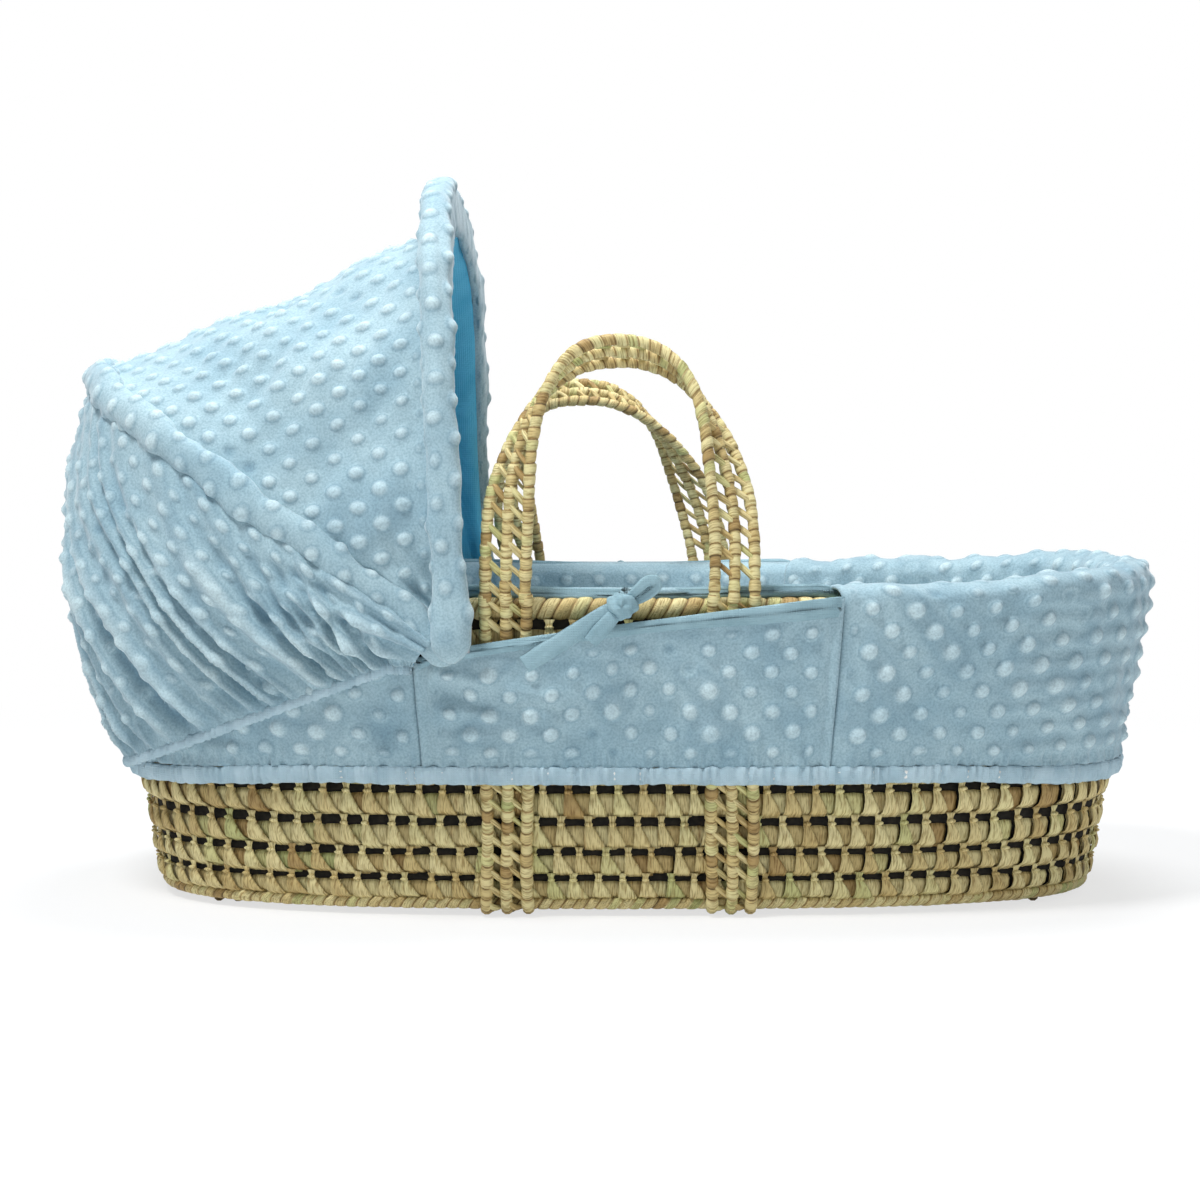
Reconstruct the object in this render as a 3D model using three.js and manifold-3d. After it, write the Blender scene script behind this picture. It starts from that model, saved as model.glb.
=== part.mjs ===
// A palm-leaf Moses basket: a baby's carrying cradle with a padded cover, a two-hoop folding hood,
// two braided carrying handles and a loose mattress.
// Millimetres, +Z up, +X towards the foot end, -Y the near side. The origin is the middle of the
// footprint, on the floor.
import * as THREE from "three";
import { mergeVertices } from "three/addons/utils/BufferGeometryUtils.js";
import Module from "manifold-3d";

const wasm = await Module();
wasm.setup();

// The basket's plan is a superellipse that grows evenly from the base to the rim.
const BASKET_X = 12.5;
const BASE_HALF_LENGTH = 366;
const BASE_HALF_WIDTH = 166;
const RIM_HEIGHT = 240;
const RIM_FLARE = 39;
const OUTLINE_POWER = 3;
const OUTLINE_SIDES = 32;
const END_RISE = 10;
const END_RISE_FROM = 240;
const END_RISE_TO = 400;
const GAP = 0.4;

// Walls, measured outwards from the outer face of the palm wall.
const WALL_THICKNESS = 12;
const COURSE_BULGE = 1.6;
const COURSE_LEVELS = [14, 33, 53, 77, 102, 127, 152, 177, 202, 224];
const BASE_LEVELS = [8.3, 13.7];
const RIM_COIL = { offset: -7, height: 232, radius: 7.5, sides: 7 };
const LINING = { outer: -15, inner: -22.6, bottom: 17.6, top: 232 };
const FLOOR_CLOTH = { offset: -13, bottom: 14.2, top: 17 };
const SKIRT = { inner: 10.4, outer: 13.2, bottom: 100 };
const ROLL = { centre: -6.5, halfWidth: 19.7, spring: 236, rise: 14, tuckBottom: 206, points: 6 };
const HEM = { inner: 10.6, outer: 15.6, bottom: 86, top: 99.6, cloth: 1.2, slit: [95, 98.2] };
const ELASTIC = { inner: 12.4, outer: 13.8, bottom: 88, top: 94 };
const HEM_LIFT = { side: 20, levelTo: 210, downAt: 370, fadesFrom: 100, fadesTo: 190 };
const MATTRESS = { offset: -26, bottom: 19, top: 54, round: 5, cloth: 1.2 };

// The cover's side panels stop short of the rim, so that the handles come out over them.
const SIDE_SEAMS = [-133, 156];
const SIDE_EDGE_HEIGHTS = [196, 233];

// Straps under the basket, handles over it.
const HANDLE_X = 7;
const HANDLE_HALF_SPAN = 83;
const RAIL_PITCH = 15;
const RAIL_RADIUS = 4.6;
const RAIL_STEPS = 20;
const HANDLE_POWER = 2.4;
const HANDLE_PIVOT_Z = 242;
const HANDLE_START = 5;
const HANDLE_TWIST = THREE.MathUtils.degToRad(120);
const LACING_RADIUS = 1.6;
const HANDLE_LEAN = 36;
const STRAP = { inner: 0.8, outer: 8, web: [2.6, 6.2], top: 236, floor: 0, under: 8, ribWidth: 10 };
const RUNNER = { x: 297, width: 45, halfLength: 112, height: 7.8 };

// The hood turns about one cross axis through a rivet on each side.
const PIVOT = { x: -113.5, z: 209 };
const HOOP_POWER = 2.5;
const HOOP_WIRE = 2;
const HOOP_STEPS = 22;
const EYELET = { radius: 7, hole: 2.7, thickness: 2 };
const FRONT_HOOP = { angle: THREE.MathUtils.degToRad(86.8), reach: 341, halfWidth: 225 };
const REAR_HOOP = { angle: THREE.MathUtils.degToRad(34.2), reach: 349, halfWidth: 220 };
const FRONT_CASING = { outward: 10, inward: 32, axial: 12 };
const REAR_CASING = { outward: 9, inward: 9, axial: 9 };
const CASING_GROWTH = { least: 0.35, from: 40, to: 170 };
const FACING_GROWTH = { least: 0.25, from: 120, to: 320 };
const CASING_BORE = 2.9;
const CASING_FROM = 0.045;
const CASING_SIDES = 10;
const PANEL_FROM = 0.055;
const PANEL_STEPS = 20;
const REAR_SWELL = { back: 29, sideways: 14 };
const PANEL_THICKNESS = 3;
const RIVET = { inner: 212.2, outer: 229.6, radius: 2.2, headRadius: 4.5, headHeight: 1.7 };
const BRACKET = { plate: 2, outside: 214.5, width: 24, foot: 142, jog: 200.8, top: 217 };
const HOOD_EDGE = { offset: 19.5, low: 105, high: 192, turn: 69, levelFrom: 0.42, radius: 3, steps: 24 };

const MATERIALS = {
  palm: { color: 0xc2ab78, roughness: 0.75, metalness: 0 },
  cloth: { color: 0xa9cbe6, roughness: 0.95, metalness: 0 },
  lining: { color: 0x3f93c4, roughness: 0.9, metalness: 0 },
  elastic: { color: 0xf2f2ee, roughness: 0.8, metalness: 0 },
  foam: { color: 0xf3efdf, roughness: 0.95, metalness: 0 },
  sheet: { color: 0xf4f5f3, roughness: 0.9, metalness: 0 },
  steel: { color: 0xb9bcc0, roughness: 0.35, metalness: 1 },
};

const basket = new THREE.Group();

function addPart(name, geometry, finish) {
  const mesh = new THREE.Mesh(geometry, new THREE.MeshStandardMaterial(MATERIALS[finish]));
  mesh.name = name;
  basket.add(mesh);
}

// Shared geometry helpers

function moveVertices(geometry, place) {
  const position = geometry.getAttribute("position");
  for (let i = 0; i < position.count; i++) {
    const p = place(position.getX(i), position.getY(i), position.getZ(i));
    position.setXYZ(i, p.x, p.y, p.z);
  }
  return geometry;
}

function toSolid(geometry) {
  const bare = geometry.clone();
  bare.deleteAttribute("normal");
  bare.deleteAttribute("uv");
  const merged = mergeVertices(bare, 1e-3);
  const vertProperties = merged.getAttribute("position").array;
  const triVerts = new Uint32Array(merged.index.array);
  return new wasm.Manifold(new wasm.Mesh({ numProp: 3, vertProperties, triVerts }));
}

function toGeometry(solid) {
  const mesh = solid.getMesh();
  const geometry = new THREE.BufferGeometry();
  geometry.setAttribute("position", new THREE.BufferAttribute(mesh.vertProperties, 3));
  geometry.setIndex(new THREE.BufferAttribute(mesh.triVerts, 1));
  return geometry;
}

function polygon(points) {
  return new THREE.Shape(points.map(([x, y]) => new THREE.Vector2(x, y)));
}

function circlePoints(radius, sides) {
  return Array.from({ length: sides }, (_, i) => {
    const angle = (2 * Math.PI * i) / sides;
    return [radius * Math.cos(angle), radius * Math.sin(angle)];
  });
}

function box(low, high) {
  const size = high.map((value, k) => value - low[k]);
  const middle = high.map((value, k) => (value + low[k]) / 2);
  return new THREE.BoxGeometry(...size).translate(...middle);
}

// A shape drawn in (x, z) and drawn out along Y from yLow to yHigh.
function prismAlongY(points, yLow, yHigh) {
  const extrude = { depth: yHigh - yLow, bevelEnabled: false };
  return new THREE.ExtrudeGeometry(polygon(points), extrude).rotateX(Math.PI / 2).translate(0, yHigh, 0);
}

// A shape drawn in (y, z) and drawn out along X from xLow to xHigh.
function prismAlongX(points, xLow, xHigh) {
  const extrude = { depth: xHigh - xLow, bevelEnabled: false };
  const geometry = new THREE.ExtrudeGeometry(polygon(points), extrude);
  return moveVertices(geometry, (x, y, z) => new THREE.Vector3(z + xLow, x, y));
}

function discAlongY(radius, yLow, yHigh, x, z, sides = 16) {
  return new THREE.CylinderGeometry(radius, radius, yHigh - yLow, sides).translate(x, (yLow + yHigh) / 2, z);
}

// A section carried from 0 to 1 by a function that places each of its points.
function carry(section, steps, place) {
  const geometry = new THREE.ExtrudeGeometry(section, { depth: 1, steps, bevelEnabled: false });
  return moveVertices(geometry, place);
}

function tubeAlong(curve, radius, sides, steps) {
  const section = polygon(circlePoints(radius, sides));
  return new THREE.ExtrudeGeometry(section, { steps, extrudePath: curve, bevelEnabled: false });
}

function superCos(angle, power) {
  return Math.sign(Math.cos(angle)) * Math.abs(Math.cos(angle)) ** (2 / power);
}

function superSin(angle, power) {
  return Math.sign(Math.sin(angle)) * Math.abs(Math.sin(angle)) ** (2 / power);
}

// The basket's outline

function flareAt(z) {
  return (RIM_FLARE * z) / RIM_HEIGHT;
}

function onOutline(angle, offset, z) {
  const c = Math.cos(angle);
  const s = Math.sin(angle);
  const reach = (Math.abs(c) ** OUTLINE_POWER + Math.abs(s) ** OUTLINE_POWER) ** (-1 / OUTLINE_POWER);
  const along = (BASE_HALF_LENGTH + flareAt(z) + offset) * reach * c;
  const across = (BASE_HALF_WIDTH + flareAt(z) + offset) * reach * s;
  const rise = END_RISE * THREE.MathUtils.smoothstep(Math.abs(along), END_RISE_FROM, END_RISE_TO);
  return new THREE.Vector3(BASKET_X + along, across, z + rise * (z / RIM_HEIGHT) ** 2);
}

const LATHE_RADIUS = 1000;
const AXIS = -LATHE_RADIUS;

// The cover's lower edge sits higher along the sides than round the ends.
function hemLift(x, z) {
  const { side, levelTo, downAt, fadesFrom, fadesTo } = HEM_LIFT;
  const end = THREE.MathUtils.smoothstep(Math.abs(x - BASKET_X), levelTo, downAt);
  const share = THREE.MathUtils.clamp((fadesTo - z) / (fadesTo - fadesFrom), 0, 1);
  return side * (1 - end) * share;
}

// Turns a profile of [offset from the wall, height] points round the basket. A profile that starts
// and ends on AXIS makes a plate, and any other closes on itself. lift(x, z) raises it in places.
function roundBasket(profile, lift = () => 0) {
  const points = profile.map(([offset, z]) => new THREE.Vector2(LATHE_RADIUS + offset, z));
  if (profile[0][0] !== AXIS) points.push(points[0].clone());
  const geometry = new THREE.LatheGeometry(points, OUTLINE_SIDES).rotateX(Math.PI / 2);
  return moveVertices(geometry, (x, y, z) => {
    const radius = Math.hypot(x, y);
    if (radius < 1) return new THREE.Vector3(BASKET_X, 0, z);
    const angle = Math.atan2(y, x);
    const level = onOutline(angle, radius - LATHE_RADIUS, z);
    return onOutline(angle, radius - LATHE_RADIUS, z + lift(level.x, z));
  });
}

// Woven basket

function addBasket() {
  const [low, high] = BASE_LEVELS;
  const mat = [[AXIS, low], [-2, low], [0, low + 2], [0, high], [AXIS, high]];
  addPart("basket_base", roundBasket(mat), "palm");
  for (let i = 0; i + 1 < COURSE_LEVELS.length; i++) {
    const bottom = COURSE_LEVELS[i] + GAP / 2;
    const top = COURSE_LEVELS[i + 1] - GAP / 2;
    const profile = [
      [-COURSE_BULGE, bottom], [0, (bottom + top) / 2], [-COURSE_BULGE, top],
      [-WALL_THICKNESS, top], [-WALL_THICKNESS, bottom],
    ];
    addPart(`wall_course_${i + 1}`, roundBasket(profile), "palm");
  }
  const coil = circlePoints(RIM_COIL.radius, RIM_COIL.sides);
  const rim = coil.map(([x, y]) => [RIM_COIL.offset + x, RIM_COIL.height + y]);
  addPart("rim_coil", roundBasket(rim), "palm");
  for (const [name, side] of [["head_foot_runner", -1], ["tail_foot_runner", 1]]) {
    const x = BASKET_X + side * RUNNER.x;
    const halfWidth = RUNNER.width / 2;
    const low = [x - halfWidth, -RUNNER.halfLength, 0];
    const high = [x + halfWidth, RUNNER.halfLength, RUNNER.height];
    addPart(name, box(low, high), "palm");
  }
}

function sideY(offset, z) {
  return BASE_HALF_WIDTH + flareAt(z) + offset;
}

// A U that runs down one side wall, under the base and up the other.
function strapBand(inner, outer, floor, under, xLow, xHigh) {
  const chamfer = 6;
  const half = [
    [sideY(inner, under), under], [sideY(inner, STRAP.top), STRAP.top],
    [sideY(outer, STRAP.top), STRAP.top], [sideY(outer, floor + chamfer), floor + chamfer],
    [sideY(outer, floor) - chamfer, floor],
  ];
  const mirrored = half.map(([y, z]) => [-y, z]).reverse();
  return toSolid(prismAlongX([...half, ...mirrored], xLow, xHigh));
}

function addStraps() {
  for (const [name, side] of [["head_carry_strap", -1], ["tail_carry_strap", 1]]) {
    const middle = HANDLE_X + side * HANDLE_HALF_SPAN;
    const reach = RAIL_PITCH + STRAP.ribWidth / 2;
    const [webInner, webOuter] = STRAP.web;
    const webFloor = STRAP.under - webOuter;
    const webTop = STRAP.under - webInner;
    let strap = strapBand(webInner, webOuter, webFloor, webTop, middle - reach, middle + reach);
    for (const rib of [-1, 0, 1]) {
      const x = middle + rib * RAIL_PITCH;
      const half = STRAP.ribWidth / 2;
      const ribBand = strapBand(STRAP.inner, STRAP.outer, STRAP.floor, STRAP.under, x - half, x + half);
      strap = strap.add(ribBand);
    }
    addPart(name, toGeometry(strap), "palm");
  }
}

// Handles

// The line that a handle's rail or lacing follows. across is its distance from the middle rail.
class HandleLine extends THREE.Curve {
  constructor(handle, across) {
    super();
    this.handle = handle;
    this.across = across;
  }

  middle(t) {
    const { side, height, skew } = this.handle;
    const share = superSin(Math.PI * t, HANDLE_POWER);
    const x = HANDLE_X - HANDLE_HALF_SPAN * superCos(Math.PI * t, HANDLE_POWER) + skew * share;
    const y = side * (sideY(4.5, HANDLE_PIVOT_Z) - HANDLE_LEAN * share * share);
    return new THREE.Vector3(x, y, HANDLE_PIVOT_Z + HANDLE_START + height * share);
  }

  getPoint(t, target = new THREE.Vector3()) {
    const step = 0.002;
    const from = this.middle(Math.max(0, t - step));
    const to = this.middle(Math.min(1, t + step));
    const tangent = to.sub(from).normalize();
    const inwards = new THREE.Vector3(0, -this.handle.side, 0);
    inwards.addScaledVector(tangent, -inwards.dot(tangent)).normalize();
    const outwards = new THREE.Vector3().crossVectors(inwards, tangent).multiplyScalar(this.handle.side);
    const twist = HANDLE_TWIST * superSin(Math.PI * t, HANDLE_POWER) ** 1.5;
    return target
      .copy(this.middle(t))
      .addScaledVector(outwards, this.across * Math.cos(twist))
      .addScaledVector(inwards, this.across * Math.sin(twist));
  }
}

function addHandles() {
  const handles = [
    { name: "near", side: -1, height: 172, skew: 0 },
    { name: "far", side: 1, height: 149, skew: -30 },
  ];
  const rails = [["inner", -RAIL_PITCH], ["middle", 0], ["outer", RAIL_PITCH]];
  const lacings = [["inner", -RAIL_PITCH / 2], ["outer", RAIL_PITCH / 2]];
  for (const handle of handles) {
    for (const [label, across] of rails) {
      const line = new HandleLine(handle, across);
      addPart(`${handle.name}_handle_${label}_rail`, tubeAlong(line, RAIL_RADIUS, 8, RAIL_STEPS), "palm");
    }
    for (const [label, across] of lacings) {
      const line = new HandleLine(handle, across);
      addPart(`${handle.name}_handle_${label}_lacing`, tubeAlong(line, LACING_RADIUS, 5, RAIL_STEPS), "palm");
    }
  }
}

// Cover, lining and mattress

// The padded roll that carries the cover over the rim: outer skirt, arch, inner tuck.
function rollProfile() {
  const arch = (halfWidth, rise, from, to) =>
    Array.from({ length: ROLL.points }, (_, i) => {
      const angle = from + ((to - from) * i) / (ROLL.points - 1);
      return [ROLL.centre + halfWidth * Math.cos(angle), ROLL.spring + rise * Math.sin(angle)];
    });
  const cloth = SKIRT.outer - SKIRT.inner;
  return [
    [SKIRT.outer, SKIRT.bottom],
    ...arch(ROLL.halfWidth, ROLL.rise, 0, Math.PI),
    [ROLL.centre - ROLL.halfWidth, ROLL.tuckBottom],
    [ROLL.centre - ROLL.halfWidth + cloth, ROLL.tuckBottom],
    ...arch(ROLL.halfWidth - cloth, ROLL.rise - cloth, Math.PI, 0),
    [SKIRT.inner, SKIRT.bottom],
  ];
}

function addCover() {
  const [headSeam, footSeam] = SIDE_SEAMS;
  const far = 600;
  const roll = toSolid(roundBasket(rollProfile(), hemLift));
  const beyondHead = toSolid(box([-far, -far, 0], [headSeam - GAP, far, far]));
  const beyondFoot = toSolid(box([footSeam + GAP, -far, 0], [far, far, far]));
  addPart("cover_head_panel", toGeometry(roll.intersect(beyondHead)), "cloth");
  addPart("cover_foot_panel", toGeometry(roll.intersect(beyondFoot)), "cloth");
  const skirtTop = ROLL.spring;
  const skirt = toSolid(roundBasket([
    [SKIRT.outer, SKIRT.bottom], [SKIRT.outer, skirtTop],
    [SKIRT.inner, skirtTop], [SKIRT.inner, SKIRT.bottom],
  ], hemLift));
  const window = [
    [headSeam, 0], [footSeam, 0], [footSeam, SIDE_EDGE_HEIGHTS[1]], [headSeam, SIDE_EDGE_HEIGHTS[0]],
  ];
  for (const [name, yLow, yHigh] of [["cover_near_panel", -far, 0], ["cover_far_panel", 0, far]]) {
    const side = toSolid(prismAlongY(window, yLow, yHigh));
    addPart(name, toGeometry(skirt.intersect(side)), "cloth");
  }
  const { inner, outer, bottom, top, cloth, slit } = HEM;
  addPart("cover_hem_casing", roundBasket([
    [outer, bottom], [outer, top], [inner + 1.8, top], [inner + 1.8, slit[1]],
    [outer - cloth, slit[1]], [outer - cloth, bottom + cloth], [inner + cloth, bottom + cloth],
    [inner + cloth, slit[0]], [inner, slit[0]], [inner, bottom],
  ], hemLift), "cloth");
  addPart("cover_hem_elastic", roundBasket([
    [ELASTIC.outer, ELASTIC.bottom], [ELASTIC.outer, ELASTIC.top],
    [ELASTIC.inner, ELASTIC.top], [ELASTIC.inner, ELASTIC.bottom],
  ], hemLift), "elastic");
}

function addLining() {
  const { outer, inner, bottom, top } = LINING;
  addPart("padded_side_lining", roundBasket([
    [outer, bottom], [outer, top], [inner + 2, top], [inner, top - 4], [inner, bottom],
  ]), "cloth");
  addPart("floor_cloth", roundBasket([
    [AXIS, FLOOR_CLOTH.bottom], [FLOOR_CLOTH.offset, FLOOR_CLOTH.bottom],
    [FLOOR_CLOTH.offset, FLOOR_CLOTH.top], [AXIS, FLOOR_CLOTH.top],
  ]), "lining");
}

function addMattress() {
  const { offset, bottom, top, round, cloth } = MATTRESS;
  const inside = offset - cloth;
  const space = GAP * 1.5;
  addPart("mattress_cover", roundBasket([
    [AXIS, top - cloth], [inside - round, top - cloth], [inside, top - cloth - round], [inside, bottom],
    [offset, bottom], [offset, top - round], [offset - round, top], [AXIS, top],
  ]), "sheet");
  const core = inside - space;
  addPart("mattress_core", roundBasket([
    [AXIS, bottom + GAP], [core - 2, bottom + GAP], [core, bottom + 3], [core, top - cloth - space - round],
    [core - round, top - cloth - space], [AXIS, top - cloth - space],
  ]), "foam");
}

// Ties

function addTies() {
  const tailFront = sideY(SKIRT.outer, ROLL.spring) + 4.2;
  const tailBack = tailFront - 3.6;
  const knot = { x: 8, z: 236.5, radius: 9 };
  const tails = [
    [[6, 244], [-62, 199], [-56, 189], [12, 232]],
    [[10, 240], [-14, 214], [-2, 206], [20, 232]],
    [[6, 232], [18, 228], [34, 246], [24, 254]],
  ];
  for (const [name, side] of [["near_side_tie", -1], ["far_side_tie", 1]]) {
    const y = side * (tailBack - 2);
    const ball = new THREE.SphereGeometry(knot.radius, 12, 8).scale(1.15, 0.72, 0.95);
    let tie = toSolid(ball.translate(knot.x, y, knot.z));
    const [yLow, yHigh] = side < 0 ? [-tailFront, -tailBack] : [tailBack, tailFront];
    for (const tail of tails) {
      tie = tie.add(toSolid(prismAlongY(tail, yLow, yHigh)));
    }
    addPart(name, toGeometry(tie), "cloth");
  }
}

// Hood

function hoopFrame(hoop, t) {
  const { angle } = hoop;
  const at = (u) => {
    const r = hoop.reach * superSin(Math.PI * u, HOOP_POWER);
    const y = -hoop.halfWidth * superCos(Math.PI * u, HOOP_POWER);
    return new THREE.Vector3(PIVOT.x - r * Math.cos(angle), y, PIVOT.z + r * Math.sin(angle));
  };
  const step = 0.001;
  const tangent = at(Math.min(1, t + step)).sub(at(Math.max(0, t - step))).normalize();
  const forwards = new THREE.Vector3(Math.sin(angle), 0, Math.cos(angle));
  const outwards = new THREE.Vector3().crossVectors(forwards, tangent);
  const rise = hoop.reach * superSin(Math.PI * t, HOOP_POWER);
  return { point: at(t), outwards, forwards, rise };
}

function onHoop(hoop, t, outward, forward) {
  const frame = hoopFrame(hoop, t);
  return frame.point.addScaledVector(frame.outwards, outward).addScaledVector(frame.forwards, forward);
}

function addHoopWire(name, hoop) {
  const start = 0.002;
  const section = polygon(circlePoints(HOOP_WIRE, 6));
  const alongHoop = (x, y, z) => onHoop(hoop, start + (1 - 2 * start) * z, x, y);
  let wire = toSolid(carry(section, HOOP_STEPS, alongHoop));
  for (const side of [-1, 1]) {
    const middle = side * hoop.halfWidth;
    const half = EYELET.thickness / 2;
    const eyelet = toSolid(discAlongY(EYELET.radius, middle - half, middle + half, PIVOT.x, PIVOT.z));
    const hole = toSolid(discAlongY(EYELET.hole, middle - 4, middle + 4, PIVOT.x, PIVOT.z));
    wire = wire.add(eyelet).subtract(hole);
  }
  addPart(name, toGeometry(wire), "steel");
}

// How much of its full section a casing has at a distance from the pivot.
function growth(rise, { least, from, to }) {
  return least + (1 - least) * THREE.MathUtils.smoothstep(rise, from, to);
}

function casingGrowth(rise) {
  return growth(rise, CASING_GROWTH);
}

// The facing on the front hoop's inner side widens more slowly.
function facingGrowth(rise) {
  return growth(rise, FACING_GROWTH);
}

function addHoopCasing(name, hoop, casing) {
  const { outward, inward, axial } = casing;
  const outline = circlePoints(1, CASING_SIDES).map(([x, y]) => [x * (x > 0 ? outward : inward), y * axial]);
  const section = polygon(outline);
  section.holes.push(new THREE.Path(circlePoints(CASING_BORE, 6).map(([x, y]) => new THREE.Vector2(x, y))));
  const geometry = carry(section, HOOP_STEPS, (x, y, z) => {
    const t = CASING_FROM + (1 - 2 * CASING_FROM) * z;
    if (Math.hypot(x, y) < CASING_BORE + 0.1) return onHoop(hoop, t, x, y);
    const { rise } = hoopFrame(hoop, t);
    const round = casingGrowth(rise);
    const facesIn = x < 0 && inward > outward;
    return onHoop(hoop, t, x * (facesIn ? facingGrowth(rise) : round), y * round);
  });
  addPart(name, geometry, "cloth");
}

// A cloth shell between two edges. across goes from the first edge to the second.
function clothBetween(firstEdge, secondEdge, bulge, thickness, inset = 0) {
  const half = thickness / 2;
  const columns = [0, 0.25, 0.5, 0.75, 1];
  const outline = [...columns.map((v) => [v, half]), ...[...columns].reverse().map((v) => [v, -half])];
  const surface = (v, t) => {
    const point = firstEdge(t).lerp(secondEdge(t), v);
    return point.add(bulge(t).multiplyScalar(Math.sin(Math.PI * v)));
  };
  return carry(polygon(outline), PANEL_STEPS, (v, h, z) => {
    const t = PANEL_FROM + (1 - 2 * PANEL_FROM) * z;
    const step = 0.01;
    const alongV = surface(Math.min(1, v + step), t).sub(surface(Math.max(0, v - step), t));
    const alongT = surface(v, t + step).sub(surface(v, t - step));
    const normal = new THREE.Vector3().crossVectors(alongT, alongV).normalize();
    return surface(v, t).addScaledVector(normal, inset + h);
  });
}

// The gathered lower edge runs round the head end, outside the cover.
function hoodEdge(t, offset) {
  const { low, high, turn, levelFrom } = HOOD_EDGE;
  const angle = Math.PI + THREE.MathUtils.degToRad(turn) * Math.cos(Math.PI * t);
  const along = Math.abs(onOutline(angle, 0, 0).x) / BASE_HALF_LENGTH;
  const share = THREE.MathUtils.clamp((1 - along) / (1 - levelFrom), 0, 1);
  const z = low + (high - low) * share;
  return onOutline(angle, offset, z).setZ(z);
}

class HoodEdgeLine extends THREE.Curve {
  getPoint(t, target = new THREE.Vector3()) {
    return target.copy(hoodEdge(PANEL_FROM + (1 - 2 * PANEL_FROM) * t, HOOD_EDGE.offset));
  }
}

function addHoodCloth() {
  const panelFront = { ...FRONT_HOOP, reach: 309, halfWidth: 217 };
  const frontEdge = (t) => onHoop(panelFront, t, 0, -FRONT_CASING.axial - 2);
  const rearTopEdge = (t) => onHoop(REAR_HOOP, t, 0, REAR_CASING.axial + 2.5);
  const rearLowEdge = (t) => onHoop(REAR_HOOP, t, 0, -REAR_CASING.axial - 2.5);
  const aboveEdge = new THREE.Vector3(0, 0, HOOD_EDGE.radius + 2.5);
  const lowerEdge = (t) => hoodEdge(t, HOOD_EDGE.offset + 0.5).add(aboveEdge);
  const flat = () => new THREE.Vector3();
  const swell = (t) => {
    const share = Math.sin(Math.PI * t);
    return new THREE.Vector3(-REAR_SWELL.back * share, -REAR_SWELL.sideways * Math.cos(Math.PI * t), 0);
  };
  addPart("hood_top_panel", clothBetween(frontEdge, rearTopEdge, flat, PANEL_THICKNESS), "cloth");
  addPart("hood_inner_lining", clothBetween(frontEdge, rearTopEdge, flat, 1.5, -5), "lining");
  addPart("hood_rear_panel", clothBetween(rearLowEdge, lowerEdge, swell, PANEL_THICKNESS), "cloth");
  addPart("hood_edge_elastic", tubeAlong(new HoodEdgeLine(), HOOD_EDGE.radius, 6, HOOD_EDGE.steps), "cloth");
}

function addPivots() {
  const { radius, headRadius, headHeight } = RIVET;
  const length = RIVET.outer - RIVET.inner;
  const profile = [
    [0, 0], [headRadius, 0], [headRadius, headHeight], [radius, headHeight],
    [radius, length - headHeight], [headRadius, length - headHeight], [headRadius, length], [0, length],
  ].map(([x, y]) => new THREE.Vector2(x, y));
  for (const [name, side] of [["near", -1], ["far", 1]]) {
    const rivet = new THREE.LatheGeometry(profile, 12);
    rivet.translate(PIVOT.x, side < 0 ? -RIVET.outer : RIVET.inner, PIVOT.z);
    addPart(`${name}_hood_rivet`, rivet, "steel");
    const { plate, outside, width, foot, jog, top } = BRACKET;
    const behind = sideY(3, jog);
    const bend = [
      [outside + plate, top], [outside, top], [outside, jog + plate], [behind, jog + plate],
      [sideY(3, foot), foot], [sideY(3, foot) + plate, foot], [behind + plate, jog], [outside + plate, jog],
    ].map(([y, z]) => [side * y, z]);
    const x = PIVOT.x;
    const strip = toSolid(prismAlongX(bend, x - width / 2, x + width / 2));
    const hole = toSolid(discAlongY(EYELET.hole, side * outside - 5, side * outside + 5, x, PIVOT.z));
    addPart(`${name}_hood_bracket`, toGeometry(strip.subtract(hole)), "steel");
  }
}

addBasket();
addStraps();
addHandles();
addCover();
addLining();
addMattress();
addTies();
addHoopWire("front_hoop_wire", FRONT_HOOP);
addHoopWire("rear_hoop_wire", REAR_HOOP);
addHoopCasing("front_hoop_casing", FRONT_HOOP, FRONT_CASING);
addHoopCasing("rear_hoop_casing", REAR_HOOP, REAR_CASING);
addHoodCloth();
addPivots();

export default basket;
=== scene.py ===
import math

import bmesh
import bpy
import numpy as np
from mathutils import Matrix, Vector


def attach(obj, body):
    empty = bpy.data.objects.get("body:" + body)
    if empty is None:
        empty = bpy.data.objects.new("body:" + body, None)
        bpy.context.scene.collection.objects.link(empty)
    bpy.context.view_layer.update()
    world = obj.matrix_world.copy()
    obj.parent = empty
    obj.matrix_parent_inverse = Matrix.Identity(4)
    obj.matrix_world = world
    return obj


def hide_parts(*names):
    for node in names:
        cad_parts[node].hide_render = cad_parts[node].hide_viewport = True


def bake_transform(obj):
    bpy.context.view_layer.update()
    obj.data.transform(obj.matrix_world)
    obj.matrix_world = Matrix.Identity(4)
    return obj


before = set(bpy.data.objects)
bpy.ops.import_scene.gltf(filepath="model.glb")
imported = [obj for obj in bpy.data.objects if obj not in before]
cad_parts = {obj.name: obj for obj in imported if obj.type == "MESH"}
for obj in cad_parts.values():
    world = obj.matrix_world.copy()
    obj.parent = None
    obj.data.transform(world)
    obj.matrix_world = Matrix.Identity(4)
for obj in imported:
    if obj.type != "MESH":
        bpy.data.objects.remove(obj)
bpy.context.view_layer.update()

# A palm-leaf Moses basket with a dotted plush cover, a two-hoop hood and braided handles.
# Lengths are in millimetres until a mesh is made. An offset is measured outwards from the
# wall's face. The basket's plan is a superellipse that grows evenly from the base to the rim.
MM = 0.001
BASKET_X = 12.5
BASE_HALF_LENGTH = 366.0
BASE_HALF_WIDTH = 166.0
RIM_HEIGHT = 240.0
RIM_FLARE = 39.0
OUTLINE_POWER = 3.0
# The rim dips along the sides: how much higher the ends are, and where the rise starts and stops.
END_RISE = 10.0
END_RISE_FROM, END_RISE_TO = 240.0, 400.0

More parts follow.
